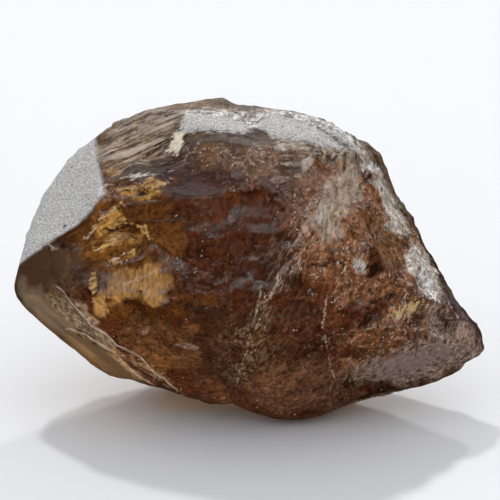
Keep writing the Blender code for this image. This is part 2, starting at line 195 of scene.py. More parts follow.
# Stepped ripples: (centre, radii, degrees the steps run from across, spacing, height).
RIPPLES = {
    "window_steps": ((-4.7, 0.9, 3.5), (2.1, 2.4, 2.5), 18, 0.95, 0.12),
    "streaks": ((-4.0, 4.6, 2.0), (2.4, 1.8, 3.0), 30, 0.85, 0.1),
    "caramel_steps": ((5.0, -0.2, 3.2), (2.2, 2.4, 2.4), 62, 1.05, 0.15),
    "brow_steps": ((1.2, 5.0, 3.0), (2.6, 1.6, 2.6), -8, 0.9, 0.1),
    "back_steps": ((2.5, 0.5, -5.5), (3.2, 3.6, 3.0), -35, 1.2, 0.12),
    "upper_window_steps": ((-4.9, 2.0, 3.4), (1.6, 1.5, 2.5), 12, 0.42, 0.07),
    "window_threads": ((-4.3, -0.8, 4.2), (1.9, 1.3, 2.5), 84, 0.24, 0.022),
    "fine_streaks": ((-4.0, 4.8, 2.0), (2.4, 1.5, 3.0), 24, 0.38, 0.05),
    "silk_threads": ((4.0, 2.6, 3.4), (1.1, 2.0, 2.4), 64, 0.3, 0.035),
    "vein_threads": ((1.6, -2.2, 4.8), (1.3, 2.6, 2.0), 66, 0.34, 0.035),
    "tail_threads": ((7.0, -3.6, 1.6), (2.8, 1.5, 2.0), 12, 0.36, 0.03),
}
STEP_RISE = 0.75  # the share of each step that climbs
BELL = 1.2  # how steeply swells and ripples fade from their middles
# Grain of the broken skin: (size of one grain, height). The stone's left end is smoother.
GRAINS = ((2.4, 0.18), (1.3, 0.15), (0.85, 0.12), (0.48, 0.07), (0.27, 0.04))
GRAIN_LEVEL = 0.3  # the share of a grain that stands above the plain skin
ROUGH_FROM_TO = (-3.5, 3.0)  # where across the stone the grain comes up
SMOOTH_SHARE = 0.35  # what is left of the grain on the smooth end
FACE_SHARES = {  # and at most on the smoothest faces
    "frosted_face": 0.12, "top_face": 0.30, "nose_face": 0.10, "nose_underface": 0.25,
    "keel_face": 0.12, "keel_band": 0.25, "golden_face": 0.25,
}
# Small broken flats: (size of one flat, height). They are on the right and along the top.
CHIPS = ((1.7, 0.10), (0.8, 0.06), (0.45, 0.035))
BROKEN_FROM_TO = (0.5, 4.0)  # where across the stone they come up
BROKEN_ABOVE = (3.2, 4.6)  # and where upwards
BACK_CHIPS = 0.6  # their share on the back
WARP = 0.32  # how far hollows and crests are pulled out of true, so that none is round
# Clouds on the skin: (size of one cloud, the seed of its random draws).
CLOUDS = {
    "break_pull": (1.5, 31),
    "relief_pull": (1.1, 41),
    "zone_pull": (0.9, 51),
    "fine_zone_pull": (0.3, 54),
    "back_drift": (3.2, 61),
    "vein_gaps": (0.8, 63),
    "thread_pull": (0.7, 71),
}
FACE_SEED, GRAIN_SEED, CHIP_SEED = 80, 3, 21  # of the first face's, grain's and chip's draws
CLOUD_LATTICE, CHIP_LATTICE = 32, 16  # cells after which the draws come round again
CHIP_JITTER = 0.45  # how far a chip's middle strays from its cell's
FOOT_CALM = (0.15, 1.0)  # heights over which the relief comes up, so that the foot stays flat
FRONT_RELIEF = (0.0, 0.8)  # how far out of the girdle plane the crests and threads come up
FRONT_ZONES = (-1.5, 0.0)  # and the front's colours

# Threads: lines finer than the grid, as paths (across, up). Bright ones are splinters and painted
# glints, glassy ones painted highlights on whole edges, golden ones lit ledges and dark ones
# cracks.
THREADS = {
    "bright": (
        ((-2.89, 5.74), (-3.4, 5.31), (-3.91, 4.8)),
        ((-2.64, 4.38), (-2.3, 4.68), (-1.83, 4.85), (-1.36, 4.85)),
        ((-1.06, 4.85), (-0.51, 4.68), (-0.09, 4.38), (0.13, 4.12)),
        ((-4.85, 3.53), (-4.33, 3.78), (-3.83, 3.78), (-3.4, 3.74), (-2.98, 3.61)),
        ((-5.95, 2.93), (-5.53, 2.85), (-4.89, 3.1), (-4.25, 3.32)),
        ((-6.46, 1.1), (-6.21, 1.53), (-5.78, 1.83), (-5.27, 2.34)),
        ((-6.04, 0.64), (-5.61, 0.85), (-5.02, 1.06)),
        ((-5.53, 0.0), (-5.02, 0.26), (-4.55, 0.47)),
        ((0.77, 4.38), (1.19, 4.08), (1.4, 3.87), (1.7, 3.66), (2.21, 3.66), (2.59, 3.7),
         (2.81, 4.0)),
        ((0.43, 4.68), (0.55, 4.97), (0.81, 4.85), (0.94, 4.55)),
        ((1.83, 4.17), (2.12, 4.12), (2.47, 4.04)),
        ((-0.64, 6.76), (-0.17, 6.25), (0.34, 5.65)),
        ((-1.19, 6.59), (-0.68, 6.04), (-0.3, 5.57)),
        ((3.32, 5.4), (3.83, 5.1), (4.33, 4.93), (4.68, 4.72)),
        ((4.5, 4.59), (4.42, 3.95), (4.33, 3.27)),
        ((3.66, 3.27), (3.61, 2.68), (3.74, 2.08)),
        ((4.04, 2.76), (3.74, 2.17), (3.49, 1.49)),
        ((3.49, -0.38), (3.57, -1.15), (3.61, -2.0), (3.53, -2.85), (3.61, -3.49)),
        ((5.91, -2.72), (6.46, -2.51), (7.14, -2.25), (7.86, -1.83)),
        ((6.16, -2.04), (6.72, -1.7), (7.31, -1.87), (7.86, -1.79)),
        ((7.86, -1.79), (8.03, -2.21), (8.25, -2.76), (8.76, -3.19)),
        ((8.76, -3.27), (9.14, -3.7), (9.52, -4.21)),
        ((8.33, -1.79), (8.84, -1.66), (9.22, -2.08), (9.27, -2.64)),
        ((6.5, 3.19), (6.63, 2.47), (6.72, 1.66)),
        ((3.06, -5.78), (3.44, -5.57)),
        ((3.7, -3.9), (3.9, -4.6), (3.8, -5.3)),
        ((0.9, -0.9), (0.5, -2.4), (0.2, -3.9), (-0.1, -5.0)),
        ((1.6, -0.6), (1.3, -1.9), (0.9, -3.2)),
        ((7.65, 0.04), (7.82, -0.72), (8.08, -1.49)),
    ),
    "glassy": (
        ((-7.65, -1.1), (-7.15, -1.49), (-6.98, -1.91), (-6.45, -2.5), (-5.74, -3.06),
         (-5.03, -3.56), (-4.39, -3.84), (-3.9, -4.26), (-3.33, -4.83), (-2.62, -5.4)),
        ((-8.0, -2.78), (-7.65, -2.88), (-7.15, -2.81), (-6.66, -2.99), (-6.02, -3.34),
         (-5.45, -3.7), (-4.89, -4.26), (-4.32, -4.76), (-3.83, -5.04)),
        ((-5.19, -3.49), (-4.68, -3.74), (-4.17, -4.04), (-3.74, -4.46), (-3.4, -4.85)),
        ((-8.0, 0.74), (-7.75, 0.62)),
    ),
    "golden": (
        ((-6.46, 1.15), (-5.95, 1.62), (-5.44, 2.13), (-4.76, 2.68)),
        ((-6.16, 0.85), (-5.53, 1.32), (-4.89, 1.74)),
        ((-6.04, 0.6), (-5.53, 0.81), (-4.97, 0.98)),
        ((-5.48, -0.04), (-5.02, 0.26), (-4.55, 0.45)),
        ((-5.06, 3.06), (-4.25, 3.12), (-3.27, 3.36)),
        ((-4.46, 1.62), (-4.12, 1.45), (-3.83, 1.02)),
        ((-6.12, -0.51), (-6.16, -1.36), (-5.95, -1.79), (-5.65, -2.08)),
    ),
    "dark": (
        ((-5.42, 5.72), (-6.3, 5.1), (-7.12, 4.42), (-7.85, 3.5), (-8.38, 2.64), (-8.7, 1.9),
         (-9.05, 0.75)),
        ((-4.76, 3.0), (-4.25, 2.9), (-3.83, 2.95), (-3.53, 3.05)),
        ((-5.78, 1.36), (-5.4, 1.57), (-5.06, 1.7), (-4.59, 1.79)),
        ((2.55, 6.33), (3.23, 5.82), (3.83, 5.4), (4.38, 4.97), (4.76, 4.63)),
        ((-0.34, -5.74), (0.13, -5.91), (0.68, -6.08), (1.28, -6.21)),
        ((5.31, -0.17), (5.48, 0.21), (5.7, 0.51)),
        ((5.82, -1.74), (6.16, -1.62), (6.5, -1.49)),
        ((5.02, -2.76), (5.36, -2.51), (5.78, -2.17)),
        ((4.68, -4.63), (4.8, -5.06), (4.76, -5.57)),
        ((1.62, -4.25), (2.0, -3.83), (2.42, -3.53), (2.98, -3.36)),
        ((-5.57, 0.04), (-5.65, -0.72), (-5.61, -1.57)),
        ((-4.12, -0.38), (-4.08, -0.98), (-4.17, -1.49)),
        ((-6.89, -3.06), (-6.5, -3.19), (-6.12, -3.4)),
        ((-3.02, 6.46), (-2.34, 6.55), (-1.7, 6.63), (-1.1, 6.76), (-0.64, 6.84)),
        ((-5.44, 5.53), (-4.89, 5.78), (-4.33, 5.95), (-3.83, 6.16)),
        ((-5.19, 5.14), (-4.68, 5.31), (-4.12, 5.57)),
        ((-4.89, 5.99), (-4.25, 6.25), (-3.74, 6.42)),
        ((-7.65, 0.94), (-7.23, 0.72), (-6.97, 0.43)),
        ((-2.12, 5.36), (-1.49, 5.4), (-0.77, 5.44), (0.0, 5.36), (0.77, 5.27)),
        ((2.98, -0.04), (3.32, -0.13), (3.7, 0.0)),
    ),
}
THREAD_WANDER = 0.09  # how far threads are pulled off their paths
THREAD_NEAR = 0.32  # how close to its path a thread is drawn at all
VEIN_WIDTH = 0.65  # how fast the pale vein fades beside its crest
CREST_LIFT = (0.002, 0.012)  # how far above their neighbours points count as crests
CLEFT_DROP = (0.0015, 0.010)  # and how far below as clefts

# --- colours on the skin ------------------------------------------------------------------------
# Small flats that stand out from their surroundings: a colour, the clarity (the share of light
# that goes in), the roughness, how broken up by the grain (0 to 1), and the outline (across, up).
FLATS = {
    "dark_flat": ("24150f", 0.9, 0.06, 0.1, (
        (-2.85, 5.75), (-3.4, 5.5), (-4.05, 4.85), (-3.95, 4.35), (-3.57, 4.05), (-2.96, 4.68))),
    # The cream flat is a painted highlight: a bright patch of light off the broken face, laid into
    # the colour.
    "cream_flat": ("f4ead0", 0.1, 0.3, 0.2, (
        (-2.72, 5.72), (-2.18, 5.66), (-2.3, 5.02), (-2.54, 4.38), (-3.16, 4.58), (-2.99, 5.14))),
    # The ledge flat is a painted glint on the upper ledge.
    "ledge_flat": ("e8e4de", 0.25, 0.3, 0.3, (
        (-4.89, 3.53), (-4.46, 3.83), (-3.74, 3.87), (-3.1, 3.66), (-3.83, 3.5), (-4.46, 3.4))),
    # The gloss flat is a painted reflection: the bright surroundings mirrored in the thin right
    # edge.
    "gloss_flat": ("ffffff", 0.05, 0.2, 0.35, (
        (7.55, 0.3), (7.95, -0.3), (8.5, -1.57), (8.1, -1.75), (7.74, -1.15), (7.5, -0.51))),
    "yellow_flat": ("ecca8c", 0.3, 0.25, 0.35, (
        (6.04, -2.34), (6.6, -1.79), (7.23, -1.57), (7.9, -1.57), (7.57, -2.08), (6.8, -2.42))),
    "wedge_flat": ("d2c4ba", 0.35, 0.3, 0.8, (
        (2.55, 1.2), (2.85, 0.77), (2.76, 0.04), (2.47, -0.55), (2.17, -0.21), (2.26, 0.55))),
    "lump_flat": ("2e211b", 0.7, 0.2, 0.5, (
        (8.12, -1.79), (8.84, -1.87), (9.18, -2.34), (8.84, -2.8), (8.33, -2.72), (8.04, -2.21))),
    # The tail flat's pale grey is a painted sheen: the floor's reflection in the down-facing facet.
    "tail_flat": ("a08c84", 0.35, 0.22, 0.5, (
        (5.3, -4.1), (7.2, -3.5), (8.9, -3.2), (9.5, -3.9), (7.8, -4.7), (5.6, -5.1))),
    "keel_sheen": ("b8a498", 0.55, 0.15, 0.7, (
        (-4.6, -3.7), (-4.1, -3.8), (-2.6, -5.2), (-2.9, -5.35), (-3.9, -4.85), (-4.7, -4.2))),
}
# Outlines of the etched flats along the top.
FROSTED_FLATS = (
    ((-2.25, 6.42), (-1.49, 6.6), (-0.72, 6.75), (0.0, 6.16), (0.64, 5.48), (-1.06, 5.53),
     (-2.72, 5.57), (-2.55, 5.99)),
    ((0.9, 6.42), (1.91, 6.36), (2.76, 6.1), (3.83, 5.48), (4.76, 4.76), (3.83, 4.84), (2.55, 5.14),
     (1.4, 5.25), (0.8, 5.7)),
    ((3.8, 5.7), (5.0, 5.2), (6.0, 4.4), (5.8, 4.15), (4.9, 4.8), (3.9, 5.35)),
    ((-5.9, 5.45), (-4.6, 6.12), (-3.3, 6.55), (-3.4, 6.4), (-4.6, 5.9), (-5.9, 5.2)),
)
# Colour zones, laid over each other in this order: a colour, the clarity, the roughness, how many
# pale flecks it holds, how ragged its border is, and its patches on the front: (across, up, half
# the width, half the height, degrees turned anticlockwise).
ZONES = {
    "caramel": ("9a6038", 0.5, 0.32, 1.0, 0.5, (
        (5.4, 0.2, 3.0, 5.0, 28), (4.4, 4.6, 2.2, 1.4, -25))),
    "tan": ("a06e44", 0.5, 0.3, 0.8, 0.6, (
        (4.6, 0.6, 1.1, 0.7, 20), (6.2, 1.2, 0.7, 1.2, 20), (4.4, -4.4, 1.4, 0.5, 10))),
    "rust": ("5c2a18", 0.7, 0.16, 0.4, 0.4, (
        (5.6, -0.1, 0.7, 0.6, 0), (5.0, -2.2, 1.3, 0.7, 12), (3.2, -1.6, 0.7, 1.0, 0))),
    "plum_mid": ("3c1c16", 0.8, 0.18, 0.3, 0.5, (
        (2.2, -2.0, 1.0, 1.2, -20), (0.9, 0.2, 1.2, 1.4, -30), (1.6, -4.4, 1.4, 0.6, 10))),
    "plum_low": ("2c150f", 0.85, 0.18, 0.25, 0.5, ((-0.4, -3.6, 2.3, 2.2, 20),)),
    "lobe": ("6c4636", 0.6, 0.24, 0.25, 0.3, ((2.8, -5.2, 2.6, 1.4, 5),)),
    # The grey tail's pale grey paints the sheen of the floor reflected in the tail's underface.
    "grey_tail": ("9c8476", 0.42, 0.24, 0.25, 0.3, (
        (7.6, -4.3, 3.4, 0.9, 12), (9.0, -3.0, 1.6, 1.0, -30))),
    "honey": ("7c4a22", 0.85, 0.16, 0.15, 0.5, (
        (-4.7, 0.9, 2.5, 2.7, 8), (-5.0, 3.6, 1.2, 1.6, 0))),
    # Gold and window are the golden tint of thin clear stone; their diffuse share paints the glow
    # of light coming through from behind.
    "gold": ("d8a050", 0.7, 0.16, 0.2, 0.45, (
        (-5.6, 1.75, 1.0, 0.4, 40), (-4.6, 0.9, 1.2, 0.35, 15), (-4.2, 3.2, 1.0, 0.25, 8),
        (-5.0, 4.2, 1.0, 0.35, 15))),
    "window": ("dca45c", 0.62, 0.22, 0.1, 0.3, (
        (-4.25, -0.85, 1.6, 0.85, 0), (-5.95, -1.6, 0.3, 0.7, -8))),
    "nose": ("6a4e38", 0.62, 0.28, 0.0, 0.2, ((-8.3, -0.2, 2.2, 1.5, -10),)),
    # The lower nose's pale grey-brown paints the floor's reflection in its down-facing faces.
    "nose_low": ("a48e78", 0.6, 0.22, 0.0, 0.3, (
        (-8.2, -1.9, 1.6, 0.8, -40), (-6.3, -2.7, 1.6, 0.35, -40))),
    "keel": ("c8a074", 0.7, 0.16, 0.0, 0.2, ((-5.9, -4.1, 2.2, 0.8, -32),)),
    "amber": ("54290a", 0.92, 0.1, 0.0, 0.25, (
        (-3.9, -2.05, 2.1, 0.42, 3), (-2.0, -1.75, 1.2, 0.42, 8))),
    "brown_low": ("744a30", 0.8, 0.16, 0.15, 0.4, ((-3.4, -3.3, 1.9, 1.1, -25),)),
    "umber": ("7c5636", 0.6, 0.26, 0.6, 0.35, ((0.8, 4.3, 3.0, 0.9, -4),)),
    "olive": ("6e5230", 0.7, 0.24, 0.4, 0.25, ((-0.7, 5.15, 1.9, 0.33, -2),)),
    # The flank is partly white crumbs and partly a painted reflection: the right edge mirroring the
    # bright surroundings.
    "flank": ("dcd0c2", 0.3, 0.3, 0.9, 0.3, (
        (6.5, 2.4, 0.55, 1.7, 14), (7.8, -0.3, 0.55, 1.4, 24))),
    "top": ("ece8e4", 0.2, 0.4, 0.3, 0.25, (
        (-0.4, 6.3, 2.6, 0.75, 2), (2.6, 5.9, 2.6, 0.85, -14), (5.1, 4.7, 1.6, 0.5, -42),
        (-4.3, 6.3, 1.8, 0.25, 24))),
    "streaky": ("9a866e", 0.6, 0.3, 0.3, 0.3, (
        (-4.3, 5.4, 2.0, 1.3, 30), (3.4, 4.9, 2.2, 0.5, -15))),
    "silky": ("b49c80", 0.4, 0.33, 0.6, 0.3, ((4.1, 2.6, 0.75, 1.9, -22),)),
}
# Small stains, splinters, holes and painted glints, broken up by the grain: a colour, the clarity,
# the roughness, the strength and the patches.
STAINS = {
    # The purple and dark stains are cracks and fractures, and in the pits and holes their darkness
    # is painted shade.
    "purple": ("3a2c38", 0.8, 0.2, 0.9, ((5.3, 3.6, 0.28, 0.4, -30),)),
    "dark": ("26120c", 0.9, 0.25, 0.9, (
        (-0.8, -5.05, 0.45, 0.35, 0), (3.0, -3.35, 0.65, 0.32, 20), (2.2, -3.85, 0.7, 0.2, 38),
        (-5.1, 1.55, 0.75, 0.18, 14), (3.3, -0.08, 0.45, 0.12, 5), (5.4, -2.45, 0.5, 0.16, 30),
        (6.1, -1.62, 0.4, 0.1, 12), (-7.3, 0.7, 0.4, 0.2, -25), (5.4, -0.4, 0.5, 0.35, 30),
        (2.2, -0.8, 0.5, 0.4, 20), (2.0, 4.0, 0.6, 0.3, 0), (-1.9, -1.85, 0.7, 0.25, 8),
        (4.6, -5.1, 0.14, 0.5, 0))),
    # The pale stains are partly white crumbs and partly painted glints on the brow and the right
    # rim.
    "pale": ("e4dcd2", 0.3, 0.35, 0.9, (
        (3.3, 2.1, 0.3, 0.8, -30), (6.6, 2.2, 0.14, 0.9, 12), (1.85, 4.98, 0.4, 0.22, 10),
        (2.2, 4.13, 0.5, 0.12, -5), (2.9, 4.2, 0.4, 0.2, 35), (0.3, 6.2, 0.35, 0.28, -20),
        (6.4, 1.6, 0.5, 0.3, 0), (5.0, -0.2, 0.3, 0.5, 20), (5.9, 3.4, 0.3, 0.5, 30))),
    "glint": ("c8aaa4", 0.5, 0.15, 0.8, (
        (-3.1, -1.19, 0.5, 0.1, 2), (-2.2, -3.42, 0.6, 0.12, 3), (-3.9, -2.8, 0.3, 0.16, 30),
        (-2.6, -3.85, 0.3, 0.1, -15), (-7.85, 0.66, 0.12, 0.1, 0), (1.6, 3.4, 0.4, 0.2, 0),
        (1.5, 4.6, 0.3, 0.15, 20))),
    "ochre": ("9c6628", 0.7, 0.25, 0.9, (
        (-1.8, 6.62, 1.1, 0.1, 10), (1.85, 6.2, 0.3, 0.1, 12), (1.2, 5.8, 0.3, 0.12, 15),
        (-5.2, 4.9, 0.6, 0.2, 20))),
}
STAIN_BORDER = 0.15  # how ragged the stains are
PATCH_FADE = (0.6, 1.2)  # the shares of a patch's radii over which it fades

# --- patterns in the stone ----------------------------------------------------------------------
GRAIN_TURNS = (62.0, 24.0)  # degrees the grain rises on the right and on the left
GRAIN_SQUEEZE = (0.2, 1.0, 1.0)  # draws patterns out along the grain
STRAND_SQUEEZE = (0.5, 1.0, 1.0)  # and once more, for strands
COLUMN_SQUEEZE = (1.0, 1.0, 0.12)  # draws columns out upwards
# Noises: (the places they run over, details per millimetre, octaves, roughness, distortion). The
# real etching is finer than the dust, which is drawn at 0.07 mm, as fine as it shows.
NOISES = {
    "mottle": ("plain", 0.6, 5.0, 0.65, 0.6),
    "haze": ("plain", 2.6, 4.0, 0.85, 0.4),
    "ragged": ("plain", 3.0, 4.0, 0.75, 0.5),
    "worn": ("plain", 0.4, 5.0, 0.62, 0.8),
    "clouds": ("plain", 1.3, 5.0, 0.7, 0.4),
    "grain": ("plain", 5.0, 3.0, 0.8, 0.0),
    "dust": ("plain", 14.0, 2.0, 0.5, 0.0),
    "pits": ("plain", 3.2, 1.0, 0.5, 0.0),
    "wobble": ("plain", 2.5, 4.0, 0.7, 0.0),
    "patches": ("plain", 1.4, 4.0, 0.7, 0.0),
    "drifts": ("plain", 0.9, 4.0, 0.65, 0.0),
    "golden_width": ("plain", 2.2, 4.0, 0.5, 0.0),
    "crack_width": ("plain", 3.3, 3.0, 0.5, 0.0),
    "fibres": ("along_grain", 3.0, 4.0, 0.65, 0.3),
    "hairs": ("along_grain", 8.0, 3.0, 0.6, 0.3),
    "strands": ("drawn_out", 4.0, 4.0, 0.6, 1.0),
    "columns": ("upright", 7.0, 3.0, 0.6, 0.0),
}
SMOOTH, EVEN = "SMOOTHSTEP", "LINEAR"
# What is read from a noise: (the noise, the way between the ends, its low and high end, and the
# values there). Shreds are fibres and grain together, and crumbs are those with hairs.
LEVELS = {
    "plum": ("mottle", SMOOTH, 0.42, 0.60, 0.0, 1.0),
    "haze": ("haze", SMOOTH, 0.46, 0.66, 0.0, 0.6),
    "zone_border": ("ragged", EVEN, 0.30, 0.70, 0.25, 0.75),
    "stain_border": ("shreds", EVEN, 0.85, 1.15, 0.1, 1.3),
    "streaks": ("strands", SMOOTH, 0.50, 0.60, 0.0, 0.85),
    "worn": ("worn", SMOOTH, 0.42, 0.56, 0.15, 1.0),
    "cloud_shade": ("clouds", EVEN, 0.35, 0.65, 0.5, 1.2),
    "fibre_shade": ("fibres", EVEN, 0.36, 0.64, 0.6, 1.45),
    "grain_shade": ("grain", EVEN, 0.36, 0.64, 0.25, 2.0),
    "hair_shade": ("hairs", EVEN, 0.36, 0.64, 0.75, 1.25),
    "column_shade": ("columns", EVEN, 0.36, 0.64, 0.45, 1.55),
    "flat_shade": ("grain", EVEN, 0.36, 0.64, 0.75, 1.2),
    "wobble": ("wobble", EVEN, 0.30, 0.70, -0.09, 0.09),
    "golden_width": ("golden_width", EVEN, 0.35, 0.65, -0.04, 0.24),
    "golden_gaps": ("hairs", EVEN, 0.40, 0.56, 0.25, 1.0),
    "crack_width": ("crack_width", EVEN, 0.35, 0.65, -0.03, 0.08),
    "crest_grain": ("grain", SMOOTH, 0.45, 0.60, 0.0, 0.8),
    "vein_crumbs": ("crumbs", SMOOTH, 1.56, 1.76, 0.0, 0.8),
    "vein_strands": ("strands", EVEN, 0.30, 0.42, 0.7, 0.0),
    "vein_hairs": ("hairs", EVEN, 0.52, 0.62, 0.0, 0.55),
    "silk": ("strands", SMOOTH, 0.40, 0.54, 0.9, 0.0),
    "seams": ("mottle", SMOOTH, 0.52, 0.62, 0.0, 0.6),
    "line_patches": ("patches", EVEN, 0.40, 0.56, 0.3, 1.0),
    "line_hairs": ("hairs", EVEN, 0.42, 0.54, 0.2, 1.0),
    "drifts": ("drifts", SMOOTH, 0.36, 0.60, 0.1, 1.0),
    "edge_wobble": ("mottle", EVEN, 0.30, 0.70, -0.06, 0.06),
    "edge_gaps": ("patches", EVEN, 0.40, 0.60, 0.25, 0.85),
    "frost_hairs": ("hairs", EVEN, 0.40, 0.60, -0.12, 0.06),
    "frost_tone": ("dust", SMOOTH, 0.35, 0.65, 0.0, 1.0),
    "pits": ("pits", SMOOTH, 0.70, 0.76, 0.0, 1.0),
}
# Pale specks: (the places they are in, bends per millimetre, their reach, cells per millimetre,
# radius as a share of a cell).
SPECKS = (
    ("plain", 4.0, 0.2, 7.5, 0.30), ("plain", 3.0, 0.4, 3.8, 0.22),
    ("along_grain", 3.0, 0.3, 6.0, 0.26),
)
ZONE_SOFTNESS, STAIN_SOFTNESS = 0.55, 0.22  # how far either side of its level a border fades
EDGE_WIDTH = 0.04  # half the width of the glassy edges, in millimetres
FROST_TONES = ("9c9a96", "ececec", "4a3f36", "f2f2f2")  # dull, bright, pitted and splintered
IOR = 1.93  # zircon's
GLOSS_TINT = 0.27  # the share of zircon's strong reflections that the weathered skin gives
BUMP_STRENGTH, BUMP_DEPTH = 0.6, 0.05  # of the finest relief; its depth is in millimetres

# --- studio and camera, in metres and degrees ---------------------------------------------------
IMAGE_PIXELS = 500
MM_PER_PIXEL = 0.0425  # at the heart's distance
HEART_PIXEL = (240.0, 263.0)  # where the heart shows, from the render's top left corner
CAMERA_DISTANCE = 0.30
SENSOR_WIDTH_MM = 36.0
FLOOR_HALF = 1.5  # half the side of the floor and of the felt under it
CARD_ROUGHNESS = 0.9
# Soft lamps: (degrees clockwise from behind the stone, degrees up, side, the setting that holds
# their power, distance, what they are seen in). The first two light the paper and throw the two
# shadows, the third shines through the stone, and the rest are only reflected.
LAMPS = {
    "left_lamp": (-16, 50, 0.16, "key", 2.4, "diffuse"),
    "right_lamp": (10, 33, 0.16, "second", 2.4, "diffuse"),
    "back_panel": (0, 30, 0.9, "backlight", 1.2, "transmission"),
    "sheen_panel": (0, 62, 0.9, "sheen", 1.2, "glossy"),
    "glint_1": (-125, 52, 0.05, "glint", 1.2, "glossy"),
    "glint_2": (125, 48, 0.05, "glint", 1.2, "glossy"),
    "glint_3": (180, 66, 0.05, "glint", 1.2, "glossy"),
    "glint_4": (-75, 40, 0.05, "glint", 1.2, "glossy"),
    "glint_5": (60, 55, 0.05, "glint", 1.2, "glossy"),
}
DRAPE_RADIUS = 1.4  # of the black tent round the camera side
DRAPE_TURN, DRAPE_TOP = 150.0, 84.0  # how far it goes round each way and up
DRAPE_CELLS = (32, 12)  # round and up


# --- small helpers ------------------------------------------------------------------------------
def linear(hex_colour):
    """A linear RGBA colour from an sRGB hex string such as "8a5a33"."""
    parts = np.array([int(hex_colour[i : i + 2], 16) for i in (0, 2, 4)]) / 255.0
    light = np.where(parts <= 0.04045, parts / 12.92, ((parts + 0.055) / 1.055) ** 2.4)
    return (*light, 1.0)


def pointing(turn, tilt):
    """The unit vector (across, up, out) turned right and tilted up by these degrees."""
    turn, tilt = radians(turn), radians(tilt)
    return np.array([sin(turn) * cos(tilt), sin(tilt), cos(turn) * cos(tilt)])


def rise(values, low, high):
    """0 below low, 1 above high, and a smooth step between."""
    t = np.clip((values - low) / (high - low), 0.0, 1.0)
    return t * t * (3.0 - 2.0 * t)


def cloud(points, size, seed):
    """Smooth noise from -1 to 1: random values on a lattice of this size, blended between."""
    table = np.random.default_rng(seed).uniform(-1.0, 1.0, (CLOUD_LATTICE,) * 3)
    cell = np.floor(points / size).astype(int)
    part = points / size - cell
    part = part**3 * (part * (part * 6.0 - 15.0) + 10.0)
    total = np.zeros(len(points))
    for corner in np.ndindex(2, 2, 2):
        weight = np.prod(np.where(np.array(corner) == 1, part, 1.0 - part), axis=1)
        i, j, k = ((cell + corner) % CLOUD_LATTICE).T
        total += weight * table[i, j, k]
    return total


def pull(points, size, seed):
    """A smooth pull from -1 to 1 each way: three clouds, with this seed and the next two."""
    return np.stack([cloud(points, size, seed + axis) for axis in range(3)], axis=1)


def chips(points, size, seed):
    """Broken flats from -1 to 1: cells round jittered lattice points, each with its own tilt.

    Each point takes the plane of the nearest of the 27 cells around it.
    """
    table = np.random.default_rng(seed).uniform(-1.0, 1.0, (*(CHIP_LATTICE,) * 3, 6))
    cell = np.floor(points / size).astype(int)
    best = np.full(len(points), 1e9)
    height = np.zeros(len(points))
    for step in np.ndindex(3, 3, 3):
        near = cell + np.array(step) - 1
        i, j, k = (near % CHIP_LATTICE).T
        draw = table[i, j, k]
        away = points / size - near - 0.5 - CHIP_JITTER * draw[:, :3]
        far = (away**2).sum(axis=1)
        closer = far < best
        best = np.where(closer, far, best)
        height = np.where(closer, (away * draw[:, 3:]).sum(axis=1), height)
    return height


def beside_path(points, path):
    """Signed distance from a path across the front: positive on the left of its direction."""
    flat = points[:, :2]
    best = np.full(len(points), 1e9)
    signed = best.copy()
    for start, end in zip(np.array(path[:-1]), np.array(path[1:])):
        along = end - start
        share = np.clip((flat - start) @ along / (along @ along), 0.0, 1.0)
        away = flat - start - share[:, None] * along
        distance = np.hypot(*away.T)
        side = np.sign(along[0] * away[:, 1] - along[1] * away[:, 0])
        nearer = distance < best
        best = np.where(nearer, distance, best)
        signed = np.where(nearer, side * distance, signed)
    return signed


def neighbour_mean(values, quads, own):
    """The mean of each point's neighbours' values, with its own counted this many times."""
    size = len(values)
    total = own * values
    count = np.full(size, float(own))
    for a, b in ((0, 1), (1, 2), (2, 3), (3, 0)):
        for near, far in ((quads[:, a], quads[:, b]), (quads[:, b], quads[:, a])):
            total += np.bincount(near, values[far], minlength=size)
            count += np.bincount(near, minlength=size)
    return total / count


def smoothed(values, quads, rounds):
    """Values averaged with their neighbours' this many times."""
    for _ in range(rounds):
        values = neighbour_mean(values, quads, 1)
    return values


# --- the skin: the solid's formulas, with finer relief ------------------------------------------
def pillow_gauge(directions):
    """How far out each direction lies on the pillow: 1 is its skin at one millimetre's reach.

    The pillow is a superellipsoid whose equator is the girdle outline. The
    outline's notches fade away from the girdle, where a softened copy of the
    outline takes over.
    """
    outline = np.array(GIRDLE) * GIRDLE_LENGTH / np.ptp(np.array(GIRDLE)[:, 0])
    angle = np.arctan2(outline[:, 1], outline[:, 0])
    radius = np.hypot(*outline.T)
    order = np.argsort(angle)
    angle, radius = angle[order], radius[order]
    around = np.arctan2(directions[:, 1], directions[:, 0])
    notched = np.interp(around, angle, radius, period=2 * np.pi)
    turned = (np.interp(around + turn, angle, radius, period=2 * np.pi) for turn in SOFTENING)
    soft = sum(turned) / len(SOFTENING)
    turns, wander = np.array(GIRDLE_WANDER, float).T
    drift = np.interp(np.degrees(around), turns, wander, period=360.0)
    flat = np.hypot(directions[:, 0], directions[:, 1])
    out = directions[:, 2] - drift / notched * flat
    reach = soft + (notched - soft) * np.exp(-((out / NOTCH_REACH) ** 2))
    swell = np.where(out > 0.0, FRONT_SWELL, BACK_SWELL)
    p = PILLOW_POWER
    return ((flat / reach) ** p + (np.abs(out) / swell) ** p) ** (1.0 / p)


